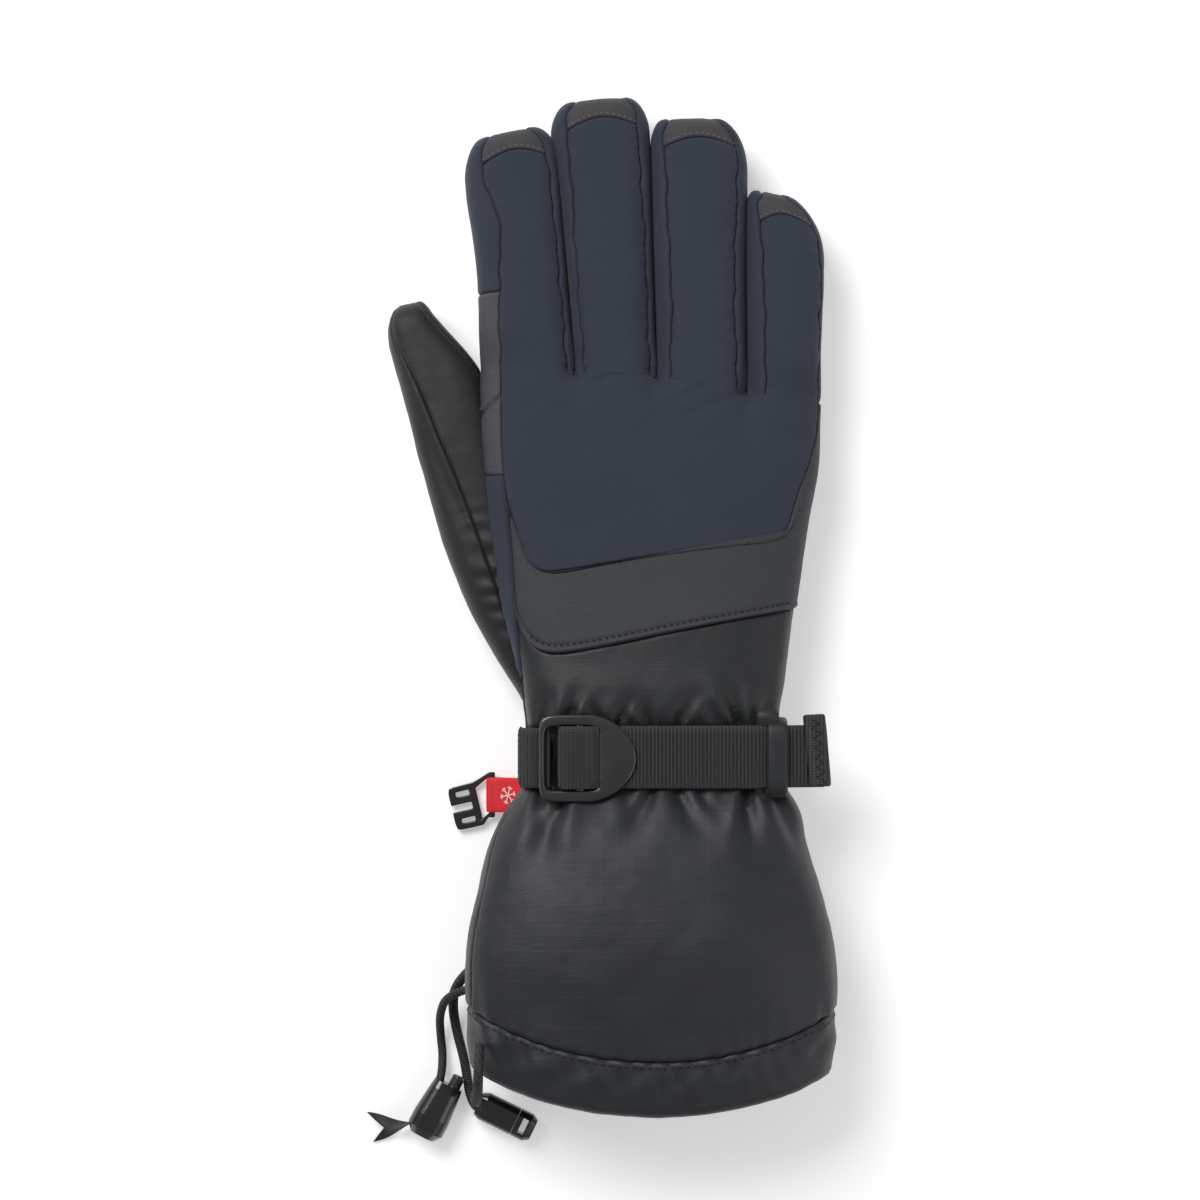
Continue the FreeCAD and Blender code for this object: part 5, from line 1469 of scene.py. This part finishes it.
def fold_form(angle, v):
    """The folded end of the strap: a flat tube across the strap, fuller at its outer fold."""
    x, z = ring(angle, -3.6, 3.6, -1.75, 1.75, 3.2)
    z = z * (1 + 0.14 * np.clip(-x / 3.6, 0, 1))
    tilt = math.atan2(3.0, 19.2)
    across = 51.8 + x * math.cos(tilt) - 0.085 * v + z * math.sin(tilt)
    up = 36.75 - x * math.sin(tilt) + z * math.cos(tilt)
    return np.stack([across, v + 0 * x + 2.4 + 0.06 * x, up], -1)


fold_low, fold_high = straight((-math.pi, -11.6), (math.pi, -11.6)), straight((-math.pi, 11.6), (math.pi, 11.6))
fold = panel("strap_folded_end", fold_form, straight((-math.pi, -11.6), (-math.pi, 11.6)),
             straight((math.pi, -11.6), (math.pi, 11.6)), fold_low, fold_high, WEBBING, "BT", across=3.0,
             step=0.8, depth=0.9, roll=0.9, thick=0.8, fuzz=0.15, seed=31.0)
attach(fold.piece, "gauntlet")
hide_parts("strap_end")
zigzag = np.array([(51.0 + (1.6 if k % 2 else -0.9) + 0.03 * k, 12.6 - k * 1.55, 0.0) for k in range(15)])
zigzag[:, 0] -= 0.085 * (zigzag[:, 1] - 2.4) - 0.6
zigzag[:, 2] = 38.62 - (zigzag[:, 0] - 51.8) * 0.156
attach(stitches("strap_end_stitches", zigzag, np.tile([0.15, 0.0, 0.99], (15, 1)), THREAD_DARK,
                 1.6, 1.5, 0.22),
        "gauntlet")
print("strap end folded and stitched")

# %% [markdown]
# The label is a folded ribbon that hangs from the side seam and carries the hook clip. Its emblem is
# a plain six-armed snow crystal, modelled from one thin bar and copied round a circle.

# %% Label ribbon
label_path = [(-43.6, 9.3), (-46.5, 7.2), (-50.4, 4.9), (-52.6, 4.2), (-54.6, 4.0), (-55.3, 2.3), (-54.3, 0.9),
              (-52.6, 0.85),
              (-50.0, 2.6), (-46.3, 5.6), (-43.4, 8.0)]
label = webbing("red_label_ribbon", label_path, 11.4, 0.6, RED_RIBBON, middle=-13.4, rib=0.45,
                rib_height=0.02, step=0.3, cells=26)
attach(label, "tag")
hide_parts("red_tag")
print("label ribbon", len(label_path), "places")

# %% [markdown]
# The emblem is modelled once as a thin bar with softened edges. Its copies make six arms with two
# small barbs each, and the finished crystal lies on the slope of the ribbon.

# %% Snow crystal emblem
bpy.ops.object.select_all(action="DESELECT")
bpy.ops.mesh.primitive_cube_add(size=1.0)
bar = bpy.context.active_object
bpy.ops.object.mode_set(mode="EDIT")
bpy.ops.mesh.select_all(action="SELECT")
bpy.ops.transform.resize(value=(1.0, 0.36 * MM, 0.16 * MM))
bpy.ops.mesh.bevel(offset=0.06 * MM, segments=2)
bpy.ops.object.mode_set(mode="OBJECT")
arms = []
for k in range(6):
    turn = math.radians(60 * k + 12)
    for offset, length, angle in ((1.5, 3.0, 0.0), (2.0, 1.0, 50.0), (2.0, 1.0, -50.0)):
        arm = bar.copy()
        arm.data = bar.data.copy()
        scene.collection.objects.link(arm)
        lean = math.radians(angle)
        reach = offset + (0.5 * math.cos(lean) if angle else 0.0)
        swing = 0.5 * math.sin(lean) if angle else 0.0
        arm.scale = (length * MM, 1.0, 1.0)
        arm.location = ((reach * math.cos(turn) - swing * math.sin(turn)) * MM,
                        (reach * math.sin(turn) + swing * math.cos(turn)) * MM, 0.0)
        arm.rotation_euler = (0, 0, turn + lean)
        arms.append(arm)
bpy.data.objects.remove(bar)
bpy.ops.object.select_all(action="DESELECT")
for arm in arms:
    arm.select_set(True)
bpy.context.view_layer.objects.active = arms[0]
bpy.ops.object.join()
emblem = bpy.context.active_object
emblem.name = "snow_crystal_emblem"
bpy.ops.object.transform_apply(location=True, rotation=True, scale=True)
slope = math.atan2(7.2 - 4.9, 50.4 - 46.5)
emblem.rotation_euler = (0, -slope, 0)
emblem.location = (-0.0481, -0.0134, 0.00668)
bpy.ops.object.transform_apply(location=True, rotation=True, scale=True)
emblem.data.materials.clear()
emblem.data.materials.append(EMBLEM_THREAD)
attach(emblem, "tag")
print("emblem faces", len(emblem.data.polygons))

# %% [markdown]
# The hook hangs in the ribbon by a bar. It starts as a flat grid: the cells of its three slots and
# of the ribbon's window are taken out, and each remaining point is moved to its place. Thickness and
# rounding then make it a moulded part.

# %% Hook
HOOK_X = (-5.7, -3.3, 1.2, 3.6)
HOOK_Y = (-7.4, -5.3, -3.8, -1.2, 1.0, 3.5, 5.1, 7.1)
HOOK_BAR_X = (-54.35, -52.45)
HOOK_BAR_Y = (-20.9, -19.4, -17.4, -15.0, -12.0, -9.6, -7.5, -5.9)
SLOT_CELLS = ((1, 1), (0, 3), (1, 3), (1, 5), (3, 1), (3, 2), (3, 3), (3, 4), (3, 5))
bpy.ops.object.select_all(action="DESELECT")
bpy.ops.mesh.primitive_grid_add(x_subdivisions=5, y_subdivisions=7, size=1.0, location=(0, 0, 0))
hook = bpy.context.active_object
hook.name = "ribbon_hook"
bpy.ops.object.mode_set(mode="EDIT")
work = bmesh.from_edit_mesh(hook.data)
gone = []
for face in work.faces:
    middle = face.calc_center_median()
    if (int((middle.x + 0.5) * 5), int((middle.y + 0.5) * 7)) in SLOT_CELLS:
        gone.append(face)
bmesh.ops.delete(work, geom=gone, context="FACES")
hook_turn = math.radians(13.4)
for v in work.verts:
    column, row = round((v.co.x + 0.5) * 5), round((v.co.y + 0.5) * 7)
    if column < 4:
        x, y = HOOK_X[column], HOOK_Y[row]
        if column == 0 and row in (0, 7):
            x, y = x + 0.5, y * 0.95
        place = (-61.2 + x * math.cos(hook_turn) - y * math.sin(hook_turn),
                 -17.0 + x * math.sin(hook_turn) + y * math.cos(hook_turn), 0.4)
    else:
        place = (HOOK_BAR_X[column - 4], HOOK_BAR_Y[row], 1.35)
    v.co = Vector(place) * MM
bmesh.update_edit_mesh(hook.data)
bpy.ops.object.mode_set(mode="OBJECT")
for kind, name, settings in (
    ("SOLIDIFY", "thickness", {"thickness": 1.9 * MM, "offset": 1.0}),
    ("BEVEL", "soft_edges", {"width": 0.32 * MM, "segments": 2, "limit_method": "ANGLE"}),
    ("SUBSURF", "moulded_round", {"levels": 2, "render_levels": 2}),
):
    change = hook.modifiers.new(name, kind)
    for key, value in settings.items():
        setattr(change, key, value)
    bpy.ops.object.modifier_apply(modifier=name)
for face in hook.data.polygons:
    face.use_smooth = True
hook.data.materials.append(GLOSS_PLASTIC)
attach(hook, "clip")
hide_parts("hook_clip")
print("hook faces", len(hook.data.polygons))

# %% [markdown]
# The pull ribbon leaves the cord lock on edge, twists flat and ends in a notch. It is a small sheet
# of cloth.

# %% Pull ribbon
PULL_STATIONS = (
    ((-77.6, -120.4), 90.0, 5.4, 2.4), ((-79.4, -121.0), 84.0, 5.4, 2.7), ((-84.0, -121.9), 58.0, 5.0, 3.9),
    ((-89.0, -122.6), 28.0, 3.4, 4.8), ((-93.6, -123.0), 12.0, 2.2, 5.3),
)
pull_at = np.linspace(0, len(PULL_STATIONS) - 1, 34)
pull_knots = [(k, s[0][0], s[0][1], s[1], s[2], s[3]) for k, s in enumerate(PULL_STATIONS)]
middle_x, middle_y, tilt, middle_z, half = (flow(pull_at, pull_knots, c) for c in (1, 2, 3, 4, 5))
shares = np.linspace(-1, 1, 17)
tilt = np.radians(tilt)[:, None]
notch = 4.6 * (1 - np.abs(shares))[None] * np.clip(pull_at[:, None] - 2.6, 0, None) / 1.4
curl = 0.5 * np.sin(shares * 2.2 + 0.6)[None] * ease(pull_at / 3)[:, None]
sheet_points = np.stack([
    middle_x[:, None] + notch - 0.9 * shares[None] * ease(pull_at / 4)[:, None],
    middle_y[:, None] + half[:, None] * shares[None] * np.cos(tilt) - curl * np.sin(tilt),
    middle_z[:, None] + half[:, None] * shares[None] * np.sin(tilt) + curl * np.cos(tilt)
    + 0.35 * np.sin(pull_at * 3)[:, None],
], -1)
edge_a, edge_b = np.gradient(sheet_points, axis=1), np.gradient(sheet_points, axis=0)
out = np.cross(edge_a, edge_b)
out /= np.linalg.norm(out, axis=2)[..., None]
both = np.concatenate([(sheet_points - out * 0.22).reshape(-1, 3), (sheet_points + out * 0.22).reshape(-1, 3)]) * MM
pull = mesh_piece("pull_ribbon_tail", both, [f[::-1] for f in shell_faces(34, 17)], PULL_RIBBON, 60.0)
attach(pull, "gauntlet")
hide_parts("ribbon_pull")
print("pull ribbon ready")

# %% [markdown]
# The moulded fittings keep their designed shapes and take the moulded finishes.

# %% Fittings
FITTINGS = {
    "cord_end": (GLOSS_PLASTIC, "hard_plastic"), "cord_lock_body": (GLOSS_PLASTIC, "hard_plastic"),
    "cord_lock_plunger": (BLACK_PLASTIC, "hard_plastic"), "cord_lock_spring": (STEEL, "spring_steel"),
}
for node, (finish, slot) in FITTINGS.items():
    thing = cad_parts[node]
    thing.data.materials.clear()
    thing.data.materials.append(finish)
    for face in thing.data.polygons:
        face.material_index = 0
print("fittings", sorted(FITTINGS))

# %% [markdown]
# The three cords were made at the start, as braided tubes.

print("three cords made")

# %% [markdown]
# The stage is a plain white floor. One broad soft light hangs above and behind the fingertips, one
# weaker light fills from the other side, and a pale surround lifts the shadows.

# %% Stage and light
bpy.ops.object.select_all(action="DESELECT")
bpy.ops.mesh.primitive_plane_add(size=8.0, location=(0, 0, -0.0006))
floor = bpy.context.active_object
floor.name = "studio_floor"
paper = Finish("studio_paper")
paper_tone = paper.between(paper.noise(30.0), (0.93, 0.93, 0.93, 1), (0.95, 0.95, 0.95, 1))
floor.data.materials.append(paper.wear(paper_tone, 0.9, paper.noise(900.0), 0.00002, 0.1, Specular_IOR_Level=0.2))
floor_shader = floor.data.materials[0].node_tree.nodes["Principled BSDF"]
floor_shader.inputs["Emission Color"].default_value = (1.0, 1.0, 1.0, 1.0)
floor_shader.inputs["Emission Strength"].default_value = 0.34


def soft_light(name, place, power, size):
    data = bpy.data.lights.new(name, "AREA")
    data.energy, data.size = power, size
    lamp = bpy.data.objects.new(name, data)
    lamp.location = place
    lamp.rotation_euler = (Vector((0, 0.05, 0)) - Vector(place)).to_track_quat("-Z", "Y").to_euler()
    scene.collection.objects.link(lamp)
    return lamp


soft_light("key_light", (-0.60, 0.80, 1.15), 15.5, 0.75)
soft_light("fill_light", (0.95, -0.25, 0.9), 3.5, 1.0)
surround = bpy.data.worlds.new("pale_surround")
surround.use_nodes = True
surround.node_tree.nodes["Background"].inputs["Color"].default_value = (1.0, 1.0, 1.0, 1.0)
surround.node_tree.nodes["Background"].inputs["Strength"].default_value = 0.30
scene.world = surround
print("lights", 2)
